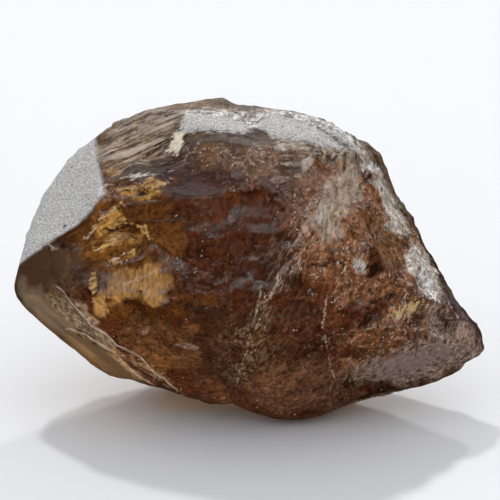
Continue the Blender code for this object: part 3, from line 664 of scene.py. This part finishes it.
def faced_reach(directions):
    """The reach of the pillow after its flat faces are cut, and the number of the nearest face.

    Each face is a plane with slow waves of its own, so that its edges wander.
    The largest of the pillow's gauge and the planes' gauges wins, and a power
    mean makes the edges between them slightly round.
    """
    size, height = FACE_WAVES
    pillow = pillow_gauge(directions)
    gauges = np.empty((len(directions), len(FACES)))
    for number, (name, (turn, tilt, far)) in enumerate(FACES.items()):
        tall = 0.0 if name in EVEN_FACES else height
        away = far + tall * cloud(directions * MIDDLE_REACH, size, FACE_SEED + number)
        gauges[:, number] = directions @ pointing(turn, tilt) / away
    gauges = np.maximum(gauges, 1e-9)
    top = np.maximum(gauges.max(axis=1), pillow)
    k = FACE_SHARPNESS
    mean = (((gauges / top[:, None]) ** k).sum(axis=1) + (pillow / top) ** k) ** (1.0 / k)
    return 1.0 / (top * mean), gauges.argmax(axis=1)


def broken_reach(directions, reach):
    """The reach after the swells are added and the shell-shaped breaks are taken out.

    A swell is a bell-shaped bump. A break is the near side of a large sphere
    that dips into the skin by the break's depth over the break's width. Its
    middle lies straight out from the face that the break is in.
    """
    for at, width, height in SWELLS.values():
        aim = np.array(at) / np.linalg.norm(at)
        top = aim * faced_reach(aim[None])[0]
        away = np.linalg.norm(directions * reach[:, None] - top, axis=1) / (width / 2.0)
        reach = reach + height * np.exp(-BELL * away**2.5)
    skin = directions * reach[:, None]
    warped = skin + WARP * pull(skin, *CLOUDS["break_pull"])
    warped /= np.linalg.norm(warped, axis=1)[:, None]
    k = BREAK_SHARPNESS
    faces = list(FACES.values())
    for at, width, depth in BREAKS.values():
        aim = np.array(at) / np.linalg.norm(at)
        far, face = faced_reach(aim[None])
        turn, tilt, _ = faces[face[0]]
        radius = (width**2 / 4.0 + depth**2) / (2.0 * depth)
        middle = aim * far + pointing(turn, tilt) * (radius - depth)
        along = warped @ middle
        inside = along**2 - (middle @ middle - radius**2)
        near = along - np.sqrt(np.maximum(inside, 0.0))
        bite = np.where((inside > 0.0) & (along > 0.0), np.maximum(near, 0.1), 1e3)
        reach = (reach**-k + bite**-k) ** (-1.0 / k)
    return reach


def grain_share(points, quads, face):
    """The share of the grain at each point, which is less on the smoothest faces."""
    share = SMOOTH_SHARE + (1.0 - SMOOTH_SHARE) * rise(points[:, 0], *ROUGH_FROM_TO)
    share = np.where(points[:, 2] < 0.0, 1.0, share)
    for name, smooth in FACE_SHARES.items():
        share = np.where(on_faces(face, name), np.minimum(share, smooth), share)
    return smoothed(share, quads, 3)


def relief(points, share):
    """Height of the crests, ripples, grain and chips that stand on the skin at these points.

    A crest falls off exponentially on each side of its path. A ripple is a saw
    tooth across its steps under a bell. Grain is the hollow side of a cloud.
    """
    shift = WARP * pull(points, *CLOUDS["relief_pull"])
    warped = points + shift
    front = rise(points[:, 2], *FRONT_RELIEF)
    height = np.zeros(len(points))
    for tall, left, right, path in CRESTS.values():
        beside = beside_path(warped, path)
        height += tall * front * np.exp(-np.abs(beside) / np.where(beside > 0.0, left, right))
    for centre, radii, angle, spacing, tall in RIPPLES.values():
        angle = radians(angle)
        across_steps = warped[:, 1] * cos(angle) - warped[:, 0] * sin(angle)
        phase = (across_steps / spacing) % 1.0
        fall = (1.0 - phase) / (1.0 - STEP_RISE)
        tooth = np.where(phase < STEP_RISE, phase / STEP_RISE, fall)
        bell = np.exp(-BELL * (((points - centre) / radii) ** 2).sum(axis=1))
        height += tall * (tooth - 0.5) * bell
    for seed, (size, tall) in enumerate(GRAINS, start=GRAIN_SEED):
        height += tall * share * (GRAIN_LEVEL - np.abs(cloud(warped, size, seed)))
    broken = np.maximum(rise(points[:, 0], *BROKEN_FROM_TO), rise(points[:, 1], *BROKEN_ABOVE))
    broken = np.where(points[:, 2] < 0.0, BACK_CHIPS, broken) * share
    for seed, (size, tall) in enumerate(CHIPS, start=CHIP_SEED):
        height += tall * broken * chips(warped + 0.5 * shift, size, seed)
    return height


def standing(points):
    """Points (across, up, out) from the heart as row-frame positions in metres, on z = 0."""
    across, up, out = points.T
    y = up * sin(LEAN) - out * cos(LEAN)
    z = up * cos(LEAN) + out * sin(LEAN)
    placed = (HEART + np.stack([across, y, z], axis=1)) * MM
    placed[:, 2] = np.maximum(placed[:, 2], 0.0)
    return placed


def grid_quads(rows, columns):
    """The quads of a grid of this many cells, whose points are numbered along its columns."""
    i, j = np.meshgrid(np.arange(rows), np.arange(columns), indexing="ij")
    corner = i * (columns + 1) + j
    quads = [corner, corner + columns + 1, corner + columns + 2, corner + 1]
    return np.stack(quads, axis=-1).reshape(-1, 4)


def direction_grid(cells):
    """Unit directions over a cube swelled into a ball, and the quads that join them.

    Each of the six sides is a grid over two angles from -45 to 45 degrees,
    whose tangents place the point on the cube. Points on shared borders are
    made one, and all are squeezed along across so that both ends get more.
    """
    line = np.tan(np.linspace(-1.0, 1.0, cells + 1) * np.pi / 4.0)
    u, v = np.meshgrid(line, line, indexing="ij")
    one = np.ones_like(u)
    sides = ((one, u, v), (-one, v, u), (v, one, u), (u, -one, v), (u, v, one), (v, u, -one))
    points = np.concatenate([np.stack(side, axis=-1).reshape(-1, 3) for side in sides])
    quads = np.concatenate([grid_quads(cells, cells) + side * u.size for side in range(6)])
    _, first, index = np.unique(
        np.round(points, 6), axis=0, return_index=True, return_inverse=True
    )
    points = points[first] * (SHARE_ALONG_X, 1.0, 1.0)
    return points / np.linalg.norm(points, axis=1)[:, None], index.reshape(-1)[quads]


# --- marks on the skin --------------------------------------------------------------------------
def on_faces(face, *names):
    """Where the nearest face, given by number, is one of these."""
    return np.isin(face, [list(FACES).index(name) for name in names])


def vertex_normals(points, quads):
    """Unit normals at the points: the sum of the crossed diagonals of the quads around each."""
    p, q, r, s = (points[quads[:, k]] for k in range(4))
    cross = np.cross(r - p, s - q)
    normals = np.stack(
        [
            sum(np.bincount(quads[:, k], cross[:, axis], minlength=len(points)) for k in range(4))
            for axis in range(3)
        ],
        axis=1,
    )
    return normals / np.linalg.norm(normals, axis=1)[:, None]


def lift(points, quads):
    """How far each point stands above its neighbours, in millimetres: crests up, clefts down."""
    middle = np.stack([neighbour_mean(axis, quads, 0) for axis in points.T], axis=1)
    return ((points - middle) * vertex_normals(points, quads)).sum(axis=1)


def inside_outline(points, outline):
    """Signed distance from a closed outline across the front: positive inside it."""
    closed = (*outline, outline[0])
    distance = np.abs(beside_path(points, closed))
    crossings = np.zeros(len(points), int)
    for (x, y), (next_x, next_y) in zip(outline, closed[1:]):
        spans = (y > points[:, 1]) != (next_y > points[:, 1])
        edge = x + (points[:, 1] - y) * (next_x - x) / ((next_y - y) or 1.0)
        crossings += spans & (points[:, 0] < edge)
    return np.where(crossings % 2 == 1, distance, -distance)


def zone_masks(points, zones):
    """For each zone, 1 inside any of its patches on the front, up to a border that wanders.

    The zones are (border, patches) by name. A patch is an ellipse, and its mask
    steps smoothly from 1 to 0 across the shares of its radii in PATCH_FADE.
    """
    wide_pull, fine_pull = (pull(points, *CLOUDS[name]) for name in ("zone_pull", "fine_zone_pull"))
    front = rise(points[:, 2], *FRONT_ZONES)
    masks = {}
    for name, (border, patches) in zones.items():
        warped = points + border * wide_pull
        warped += 0.5 * border * fine_pull
        mask = np.zeros(len(points))
        for across, up, wide, tall, turn in patches:
            turn = radians(turn)
            x, y = warped[:, 0] - across, warped[:, 1] - up
            along = (x * cos(turn) + y * sin(turn)) / wide
            far = np.hypot(along, (y * cos(turn) - x * sin(turn)) / tall)
            mask = np.maximum(mask, 1.0 - rise(far, *PATCH_FADE))
        masks[name] = mask * front
    return masks


def thread_marks(points, front):
    """For each kind of thread, the signed distance from the nearest path and where it is drawn."""
    crests = {name: crest for name, crest in CRESTS.items() if name not in GLASSY}
    paths = dict(THREADS)
    paths["bright"] += tuple(crest[3] for crest in crests.values() if crest[0] > 0.0)
    paths["dark"] += tuple(crest[3] for crest in crests.values() if crest[0] < 0.0)
    marks = {}
    for name, several in paths.items():
        side = np.full(len(points), 1e9)
        for path in several:
            beside = beside_path(points, path)
            side = np.where(np.abs(beside) < np.abs(side), beside, side)
        marks[name + "_side"] = np.clip(side, -1.0, 1.0)
        marks[name + "_near"] = front * rise(-np.abs(side), -THREAD_NEAR, -0.5 * THREAD_NEAR)
    return marks


def skin_marks(points, quads, face):
    """Float attributes for the material, by name."""
    across, out = points[:, 0], points[:, 2]
    front = rise(out, *FRONT_RELIEF)
    back = 1.0 - rise(out, *FRONT_ZONES)
    drift = cloud(points, *CLOUDS["back_drift"])
    zones = {name: zone[4:] for name, zone in ZONES.items()}
    zones |= {name: (STAIN_BORDER, stain[4]) for name, stain in STAINS.items()}
    marks = zone_masks(points, zones)
    # The back has caramel patches and a clear golden end.
    behind = back * 0.6 * rise(drift + 0.1 * across, 0.2, 0.7)
    marks["caramel"] = np.maximum(marks["caramel"], behind)
    marks["gold"] = np.maximum(marks["gold"], back * rise(-across + 1.5 * drift, -0.5, 2.0))
    pulled = points + THREAD_WANDER * pull(points, *CLOUDS["thread_pull"])
    hidden = 2.0 * (1.0 - rise(out, -0.6, 0.2))
    for name, flat in FLATS.items():
        marks[name] = np.clip(inside_outline(pulled, flat[4]) - hidden, -1.0, 1.0)
    frosted = np.max([inside_outline(pulled, outline) for outline in FROSTED_FLATS], axis=0)
    marks["frosted_flat"] = np.clip(frosted - hidden, -1.0, 1.0)
    frost = on_faces(face, "frosted_face", "back_nose_side").astype(float)
    marks["frost"] = smoothed(frost, quads, 1)
    marks["smooth"] = smoothed(on_faces(face, "nose_face", "keel_face").astype(float), quads, 3)
    marks["back"] = back
    marks["lying"] = (across < -0.5).astype(float)  # where the grain lies flatter
    marks |= thread_marks(pulled, front)
    vein = np.exp(-np.abs(beside_path(points, CRESTS["pale_vein"][3])) / VEIN_WIDTH)
    gaps = rise(cloud(points, *CLOUDS["vein_gaps"]), -0.6, 0.3)
    marks["vein"] = vein * rise(out, 0.0, 1.0) * gaps
    height = lift(points, quads)
    marks["crest"] = rise(smoothed(height, quads, 1), *CREST_LIFT)
    marks["cleft"] = rise(-smoothed(height, quads, 2), *CLEFT_DROP)
    return marks


# --- materials ----------------------------------------------------------------------------------
def feed(tree, socket, value):
    """Links another node's socket to this input, or sets its value. None leaves it."""
    if isinstance(value, bpy.types.NodeSocket):
        tree.links.new(value, socket)
    elif value is not None:
        socket.default_value = value


def feed_named(tree, node, values):
    """Feeds the inputs of these names."""
    for name, value in values.items():
        feed(tree, node.inputs[name], value)


def add(tree, kind, *inputs, **settings):
    """Adds a shader node with these properties and returns its first output.

    Each input is a socket to link, a value to set or None to leave it, in the
    order in which the node shows its inputs.
    """
    node = tree.nodes.new("ShaderNode" + kind)
    for name, value in settings.items():
        setattr(node, name, value)
    for socket, value in zip([socket for socket in node.inputs if socket.enabled], inputs):
        feed(tree, socket, value)
    return next((socket for socket in node.outputs if socket.enabled), None)


def bent(tree, place, per_mm, reach):
    """The place pulled about by cloud noise, up to half of reach millimetres each way."""
    shift = add(tree, "TexNoise", place, per_mm, 3.0).node.outputs["Color"]
    return add(tree, "VectorMath", shift, (reach,) * 3, place, operation="MULTIPLY_ADD")


def dots(tree, place, per_mm, radius, density):
    """Round specks: one in each cell, up to this radius of a cell, fewer where density is low."""
    away = add(tree, "TexVoronoi", place, per_mm)
    draw = add(tree, "SeparateColor", away.node.outputs["Color"])
    reach = add(tree, "Math", density, draw, operation="SUBTRACT")
    reach = add(tree, "MapRange", reach, 0.0, 0.5, 0.0, radius, interpolation_type=SMOOTH)
    inside = add(tree, "Math", reach, away, operation="SUBTRACT")
    return add(tree, "MapRange", inside, -0.02, 0.05, interpolation_type=SMOOTH)


def thread(tree, marks, name, wobble, width):
    """A line along the named paths that swells to this many millimetres each side and thins out."""
    side = add(tree, "Math", marks[name + "_side"], wobble)
    away = add(tree, "Math", side, operation="ABSOLUTE")
    inside = add(tree, "Math", width, away, operation="SUBTRACT")
    line = add(tree, "MapRange", inside, -0.02, 0.03, interpolation_type=SMOOTH)
    return add(tree, "Math", line, marks[name + "_near"], operation="MULTIPLY")


def zone_share(tree, mask, border, soft):
    """A zone's share: it begins softly where its mask passes the border, never without a mask."""
    over = add(tree, "Math", mask, border, operation="SUBTRACT")
    over = add(tree, "MapRange", over, -soft, soft, interpolation_type=SMOOTH)
    begun = add(tree, "MapRange", mask, 0.0, 0.4, interpolation_type=SMOOTH)
    return add(tree, "Math", over, begun, operation="MULTIPLY")


def laid_over(tree, look, share, **finish):
    """The look with the finish's colour, clarity, rough or flecks laid over it by this share."""
    return look | {
        name: add(
            tree, "Mix", share, look[name], value,
            data_type="RGBA" if name == "colour" else "FLOAT",
        )
        for name, value in finish.items()
    }


def patterns(tree, marks):
    """The places that patterns run over, the noises there and what is read from them, by name."""
    node = partial(add, tree)
    metres = node("TexCoord").node.outputs["Object"]
    # Millimetres along (across, in, up): in points from the front into the stone.
    plain = node("Mapping", metres, None, (LEAN, 0, 0), (1 / MM,) * 3)
    flows = []
    for angle in GRAIN_TURNS:
        turned = node("Mapping", plain, None, (0, radians(angle), 0))
        flows.append(node("Mapping", turned, None, None, GRAIN_SQUEEZE))
    along_grain = node("Mix", marks["lying"], *flows, data_type="VECTOR")
    places = {
        "plain": plain,
        "along_grain": along_grain,
        "drawn_out": node("Mapping", along_grain, None, None, STRAND_SQUEEZE),
        "upright": node("Mapping", plain, None, None, COLUMN_SQUEEZE),
    }
    noises = {
        name: node("TexNoise", places[over], per_mm, octaves, roughness, None, distortion)
        for name, (over, per_mm, octaves, roughness, distortion) in NOISES.items()
    }
    noises["shreds"] = node("Math", noises["fibres"], noises["grain"])
    noises["crumbs"] = node("Math", noises["shreds"], noises["hairs"])
    levels = {
        name: node("MapRange", noises[noise], *ends, interpolation_type=way)
        for name, (noise, way, *ends) in LEVELS.items()
    }
    return places, noises, levels


def brown_zircon(settings, names):
    """Rough gem zircon, broken and weathered.

    A dense, strongly refracting stone: bright glints on broken edges, brown
    light from inside where it is clear, and pale dry flecks where it has
    splintered. Crystal faces are etched to a grey frost. Some glints and sheens, the floor's
    reflection in the lower faces, the golden window's glow and the shade in clefts and pits
    are painted into the colour.
    """
    material = bpy.data.materials.new("brown_zircon")
    material.use_nodes = True
    tree = material.node_tree
    tree.nodes.clear()
    node, over = partial(add, tree), partial(laid_over, tree)
    times, minus, most = ({"operation": kind} for kind in ("MULTIPLY", "SUBTRACT", "MAXIMUM"))
    of_colours = {"data_type": "RGBA"}
    marks = {name: node("Attribute", attribute_name=name).node.outputs["Fac"] for name in names}
    places, noises, levels = patterns(tree, marks)

    # Wine with darker clouds, and under its surface finer and paler ones.
    colours = (settings.wine_colour, settings.plum_colour)
    look = {
        "colour": node("Mix", levels["plum"], *colours, **of_colours),
        "clarity": 0.80, "rough": 0.18, "flecks": 0.45,
    }
    look = over(look, levels["haze"], colour=settings.haze_colour, clarity=0.55)
    for name, (tone, clarity, rough, flecks, _, _) in ZONES.items():
        share = zone_share(tree, marks[name], levels["zone_border"], ZONE_SOFTNESS)
        look = over(look, share, colour=linear(tone), clarity=clarity, rough=rough, flecks=flecks)
    for name, (tone, clarity, rough, strength, _) in STAINS.items():
        share = zone_share(tree, marks[name], levels["stain_border"], STAIN_SOFTNESS)
        share = node("Math", share, strength, **times)
        look = over(look, share, colour=linear(tone), clarity=clarity, rough=rough, flecks=0.0)

    # Dark streaks through the pale stone along the grain.
    streak = node("Math", levels["streaks"], marks["streaky"], **times)
    look = over(look, streak, colour=settings.streak_colour)

    # The back is etched and gathers light, with glassy breaks between the etched patches.
    back, worn = marks["back"], levels["worn"]
    etched = node("MapRange", marks["gold"], 0.0, 1.0, 0.8, 0.3)
    share = node("Math", back, node("Math", etched, worn, **times), **times)
    look = over(look, share, colour=settings.back_colour)
    rough = node("MapRange", worn, 0.15, 1.0, 0.16, 0.40)
    look = over(look, back, clarity=0.90, rough=rough, flecks=0.5)

    # Clouds, fibres and grain inside the stone make it darker and lighter, and the window has
    # upright columns in their place.
    shade = levels["cloud_shade"]
    for name in ("fibre_shade", "grain_shade", "hair_shade"):
        shade = node("Math", shade, levels[name], **times)
    calm = node("Math", marks["window"], 0.85, **times)
    shade = node("Mix", calm, shade, levels["column_shade"])
    shade = node("Mix", marks["smooth"], shade, 1.0)
    look["colour"] = node("VectorMath", look["colour"], shade, operation="SCALE")

    # Flats of their own, with crisp edges that the grain breaks up.
    wobble = levels["wobble"]
    for name, (tone, clarity, rough, broken, _) in FLATS.items():
        shred = node("MapRange", noises["hairs"], 0.40, 0.60, -0.7 * broken, 0.1 * broken)
        inside = node("Math", node("Math", marks[name], wobble), shred)
        ends = (-0.03, 0.04 + 0.3 * broken, 0.0, 1.0 - 0.2 * broken)
        share = node("MapRange", inside, *ends, interpolation_type=SMOOTH)
        tone = node("VectorMath", linear(tone)[:3], levels["flat_shade"], operation="SCALE")
        look = over(look, share, colour=tone, clarity=clarity, rough=rough)

    # Golden light along the ledges.
    golden = thread(tree, marks, "golden", wobble, levels["golden_width"])
    golden = node("Math", golden, levels["golden_gaps"], **times)
    look = over(look, golden, colour=settings.golden_colour, clarity=0.45)

    # Painted shade in the clefts, where the skin dips below its neighbours, and the cracks drawn
    # dark.
    crack = thread(tree, marks, "dark", wobble, levels["crack_width"])
    cleft = node("Math", node("Math", marks["cleft"], 0.6, **times), crack, **most)
    look = over(look, cleft, colour=settings.crack_and_shade_colour)

    # Dry, pale splinters: crests, veins, silk, threads, and specks in drifts. Some of the bright
    # threads are painted glints on the ledges and the brow.
    crest = node("Math", levels["crest_grain"], look["flecks"], **times)
    crest = node("Math", crest, marks["crest"], **times)
    vein = node("Math", levels["vein_crumbs"], levels["vein_strands"], **most)
    vein = node("Math", vein, levels["vein_hairs"], **most)
    vein = node("Math", vein, marks["vein"], **times)
    silky = node("Math", marks["streaky"], marks["silky"], **most)
    silky = node("Math", silky, node("Math", levels["seams"], back, **times), **most)
    silk = node("Math", levels["silk"], silky, **times)
    line = thread(tree, marks, "bright", wobble, levels["crack_width"])
    for name in ("line_patches", "line_hairs"):
        line = node("Math", line, levels[name], **times)
    density = node("Math", levels["drifts"], look["flecks"], **times)
    specks = [
        dots(tree, bent(tree, places[of], bends, reach), cells, radius, density)
        for of, bends, reach, cells, radius in SPECKS
    ]
    pale = crest
    for more in (vein, silk, line, *specks):
        pale = node("Math", pale, more, **most)
    share = node("Math", pale, 0.8, **times)
    look = over(look, share, colour=settings.splinter_colour, clarity=0.2, rough=0.40)

    # The long edges under the nose are whole, like the edges of glass: a painted highlight runs
    # along them, with a painted glint on the nose.
    edge = thread(tree, marks, "glassy", levels["edge_wobble"], EDGE_WIDTH)
    edge = node("Math", edge, levels["edge_gaps"], **times)
    look = over(look, edge, colour=settings.edge_colour, clarity=0.2)

    # Frost: a fine grey etching with a few dark pits.
    flat = node("Math", node("Math", marks["frosted_flat"], wobble), levels["frost_hairs"])
    flat = node("MapRange", flat, -0.03, 0.10, 0.0, 0.92, interpolation_type=SMOOTH)
    frost = node("Math", marks["frost"], flat, **most)
    dark = node("Math", crack, 0.8, **times)
    frost = node("Math", frost, node("Math", 1.0, dark, **minus), **times)
    tone, *others = (linear(tone) for tone in FROST_TONES)
    for share, other in zip((levels["frost_tone"], levels["pits"], line), others):
        tone = node("Mix", share, tone, other, **of_colours)
    look = over(look, frost, colour=tone, clarity=0.15, rough=0.6)

    # Relief too fine for the mesh: etched grain on the frost, steps and threads elsewhere.
    grain = noises["grain"]
    even = node("Math", grain, 0.15, **times)
    fine = node("Mix", marks["smooth"], node("Math", grain, noises["hairs"]), even)
    fine = node("Mix", frost, fine, noises["dust"])
    for height, share in ((line, 0.8), (golden, 0.5), (crack, -0.8)):
        fine = node("Math", fine, node("Math", height, share, **times))
    bump = node("Bump")
    feed_named(
        tree, bump.node,
        {"Strength": BUMP_STRENGTH, "Distance": BUMP_DEPTH * MM, "Height": fine},
    )

    shader = node("BsdfPrincipled")
    feed_named(tree, shader.node, {
        "Base Color": look["colour"], "Roughness": look["rough"], "Normal": bump,
        "Transmission Weight": look["clarity"], "IOR": IOR,
        "Specular Tint": (GLOSS_TINT, GLOSS_TINT, GLOSS_TINT, 1.0),
    })
    depth = node("VolumeAbsorption")
    feed_named(tree, depth.node, {
        "Color": settings.depth_colour, "Density": settings.depth_density,
    })
    out = tree.nodes.new("ShaderNodeOutputMaterial")
    feed_named(tree, out, {"Surface": shader, "Volume": depth})
    return material


def matte_card(name, colour):
    """Plain matte card or cloth: no gloss, one even tone."""
    material = bpy.data.materials.new(name)
    material.use_nodes = True
    shader = material.node_tree.nodes["Principled BSDF"]
    feed_named(material.node_tree, shader, {
        "Base Color": colour, "Roughness": CARD_ROUGHNESS, "Specular IOR Level": 0.1,
    })
    return material


# --- pieces -------------------------------------------------------------------------------------
def in_scene(name, data):
    """A new object in the scene that holds this data."""
    obj = bpy.data.objects.new(name, data)
    bpy.context.scene.collection.objects.link(obj)
    return obj


def mesh_of(name, points, faces, material):
    """A mesh of these points and faces in this material."""
    mesh = bpy.data.meshes.new(name)
    mesh.from_pydata(points.tolist(), [], faces.tolist())
    mesh.update()
    mesh.materials.append(material)
    return mesh


def colour_setting(label, what, default):
    """A colour that a user can change."""
    return bpy.props.FloatVectorProperty(
        name=label, description=what, subtype="COLOR", size=4, default=default, min=0.0, max=1.0
    )


def amount_setting(label, what, default, unit="NONE"):
    """An amount from zero up that a user can change."""
    return bpy.props.FloatProperty(
        name=label, description=what, unit=unit, default=default, min=0.0
    )


class StoneSettings(bpy.types.PropertyGroup):
    """What a user can change about the stone"""

    cells: bpy.props.IntProperty(
        name="Grid cells", description="Cells along each side of the skin's grid",
        default=128, min=16, max=128,
    )
    wine_colour: colour_setting("Wine", "Clear reddish brown of the front", linear("4a1c0e"))
    plum_colour: colour_setting("Plum", "Darker clouds in the front", linear("34140e"))
    back_colour: colour_setting("Back", "Etched skin of the back", linear("d8b48c"))
    streak_colour: colour_setting(
        "Streaks", "Dark streaks through the pale stone", linear("3c281a")
    )
    haze_colour: colour_setting("Haze", "Pale clouds under the surface", linear("6a3822"))
    golden_colour: colour_setting(
        "Golden light", "Bright golden ledges on the left", linear("f4c478")
    )
    splinter_colour: colour_setting("Splinters", "Dry flecks, crests and veins", linear("e2d2c6"))
    edge_colour: colour_setting(
        "Glassy edges", "Light caught by the long edges", linear("e2d8d0")
    )
    # The colour of the painted shade in the clefts and of the dark cracks.
    crack_and_shade_colour: colour_setting("Clefts", "Dirt in the clefts", linear("2a1810"))
    depth_colour: colour_setting(
        "Depth", "Colour that light keeps inside the stone", (0.60, 0.40, 0.0, 1.0)
    )
    depth_density: amount_setting(
        "Depth density", "How fast light is taken up inside, per metre", 85.0
    )


class ZIRCON_OT_stone(bpy.types.Operator):
    """Build the stone's fine skin and put it in place of the plain solid"""

    bl_idname = "zircon.stone"
    bl_label = "Zircon crystal"

    def execute(self, context):
        settings = context.scene.zircon_stone
        directions, quads = direction_grid(settings.cells)
        reach, face = faced_reach(directions)
        points = directions * broken_reach(directions, reach)[:, None]
        calm = rise(standing(points)[:, 2] / MM, *FOOT_CALM)
        points += directions * (relief(points, grain_share(points, quads, face)) * calm)[:, None]
        marks = skin_marks(points, quads, face)
        mesh = mesh_of("zircon_stone", standing(points), quads, brown_zircon(settings, marks))
        mesh.shade_smooth()
        for name, values in marks.items():
            mark = mesh.attributes.new(name, "FLOAT", "POINT")
            mark.data.foreach_set("value", values.astype(np.float32))
        stone = in_scene("zircon_stone", mesh)
        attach(stone, "root")
        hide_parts("zircon_crystal")
        return {"FINISHED"}


class StudioSettings(bpy.types.PropertyGroup):
    """What a user can change about the floor and the lights"""

    floor_colour: colour_setting("Floor", "Pale paper", linear("f6f7f9"))
    daylight: amount_setting("Daylight", "Strength of the light from all round", 0.72)
    key: amount_setting("Key", "Power of the main softbox", 17.0, "POWER")
    backlight: amount_setting("Backlight", "Power of the large panel behind", 3.6, "POWER")
    sheen: amount_setting("Sheen", "Power of the soft panel that is only reflected", 0.4, "POWER")
    glint: amount_setting(
        "Glints", "Power of each small lamp that is only reflected", 2.6, "POWER"
    )
    second: amount_setting("Second", "Power of the second softbox", 11.0, "POWER")


def softbox(name, bearing, height, size, power, distance, seen_in):
    """A square lamp aimed at the stone, lighting only the one way of seeing that is named.

    The bearing is in degrees clockwise from straight behind the stone, and the
    height in degrees above the floor.
    """
    light = bpy.data.lights.new(name, "AREA")
    light.size = size
    light.energy = power
    lamp = in_scene(name, light)
    bearing, height = radians(bearing), radians(height)
    way = Vector((sin(bearing) * cos(height), cos(bearing) * cos(height), sin(height)))
    lamp.location = way * distance
    lamp.rotation_mode = "QUATERNION"
    lamp.rotation_quaternion = (lamp.location - Vector(HEART * MM)).to_track_quat("Z", "Y")
    for kind in ("diffuse", "glossy", "transmission"):
        setattr(lamp, f"visible_{kind}", kind == seen_in)


def stage_piece(name, points, faces, material):
    """A piece of the studio, which is not part of the stone."""
    piece = in_scene(name, mesh_of(name, points, faces, material))
    return piece


def stage_sheet(name, height, material):
    """A flat square sheet of the studio at this height, in metres."""
    side = FLOOR_HALF
    corners = [(-side, -side, height), (side, -side, height), (side, side, height),
               (-side, side, height)]
    return stage_piece(name, np.array(corners), np.array([[0, 1, 2, 3]]), material)


def dark_drape():
    """A black tent over the camera side: part of a sphere about the stone.

    Its two parameters are the angle round the stone and the height angle.
    """
    across, up = DRAPE_CELLS
    turn, height = np.meshgrid(
        np.radians(np.linspace(-DRAPE_TURN, DRAPE_TURN, across + 1)),
        np.radians(np.linspace(0.0, DRAPE_TOP, up + 1)), indexing="ij",
    )
    points = DRAPE_RADIUS * np.stack(
        [np.sin(turn) * np.cos(height), -np.cos(turn) * np.cos(height), np.sin(height)], axis=-1
    )
    velvet = matte_card("black_velvet", linear("141312"))
    return stage_piece("dark_drape", points.reshape(-1, 3), grid_quads(across, up), velvet)


def aimed_camera():
    """A camera level with the girdle plane's lean, with the heart at its pixel."""
    camera = in_scene("camera", bpy.data.cameras.new("camera"))
    camera.data.sensor_width = SENSOR_WIDTH_MM
    camera.data.lens = SENSOR_WIDTH_MM * CAMERA_DISTANCE / (IMAGE_PIXELS * MM_PER_PIXEL * MM)
    camera.data.clip_start = 0.01
    camera.data.clip_end = 10.0
    right = (IMAGE_PIXELS / 2 - HEART_PIXEL[0]) * MM_PER_PIXEL
    above = (HEART_PIXEL[1] - IMAGE_PIXELS / 2) * MM_PER_PIXEL
    aim = Vector(HEART) + Vector((right, above * sin(LEAN), above * cos(LEAN)))
    back = Vector((0.0, -cos(LEAN), sin(LEAN)))
    camera.location = aim * MM + back * CAMERA_DISTANCE
    camera.rotation_mode = "QUATERNION"
    camera.rotation_quaternion = back.to_track_quat("Z", "Y")
    return camera


class ZIRCON_OT_studio(bpy.types.Operator):
    """Lay the pale floor and set the lights and the camera"""

    bl_idname = "zircon.studio"
    bl_label = "Studio"

    def execute(self, context):
        scene = context.scene
        settings = scene.zircon_studio
        floor = stage_sheet("floor", 0.0, matte_card("floor_paper", settings.floor_colour))
        floor.visible_glossy = False
        # Dark felt and velvet show only in the stone's gloss.
        mat = stage_sheet("dark_mat", -MM, matte_card("dark_felt", linear("3a3836")))
        for flag in (dark_drape(), mat):
            for kind in ("camera", "diffuse", "transmission", "shadow", "volume_scatter"):
                setattr(flag, f"visible_{kind}", False)
        for name, (bearing, height, size, power, distance, seen_in) in LAMPS.items():
            softbox(name, bearing, height, size, getattr(settings, power), distance, seen_in)
        scene.world = bpy.data.worlds.new("pale_studio")
        scene.world.use_nodes = True
        tree = scene.world.node_tree
        sky = {"Color": linear("fafbfd"), "Strength": settings.daylight}
        feed_named(tree, tree.nodes["Background"], sky)
        scene.view_settings.view_transform = "Standard"
        scene.camera = aimed_camera()
        return {"FINISHED"}


class ZIRCON_PT_panel(bpy.types.Panel):
    """Lists the settings and the operators in the 3D view's sidebar"""

    bl_label = "Rough zircon"
    bl_idname = "ZIRCON_PT_panel"
    bl_space_type = "VIEW_3D"
    bl_region_type = "UI"
    bl_category = "Zircon"

    def draw(self, context):
        for group, operator in (
            (context.scene.zircon_studio, "zircon.studio"),
            (context.scene.zircon_stone, "zircon.stone"),
        ):
            column = self.layout.column()
            for name in type(group).__annotations__:
                column.prop(group, name)
            column.operator(operator)


CLASSES = (StoneSettings, StudioSettings, ZIRCON_OT_stone, ZIRCON_OT_studio, ZIRCON_PT_panel)


def register():
    for cls in CLASSES:
        bpy.utils.register_class(cls)
    bpy.types.Scene.zircon_stone = bpy.props.PointerProperty(type=StoneSettings)
    bpy.types.Scene.zircon_studio = bpy.props.PointerProperty(type=StudioSettings)


def unregister():
    del bpy.types.Scene.zircon_studio
    del bpy.types.Scene.zircon_stone
    for cls in reversed(CLASSES):
        bpy.utils.unregister_class(cls)


def main():
    register()
    bpy.ops.zircon.studio()
    bpy.ops.zircon.stone()


if __name__ == "__main__":
    main()
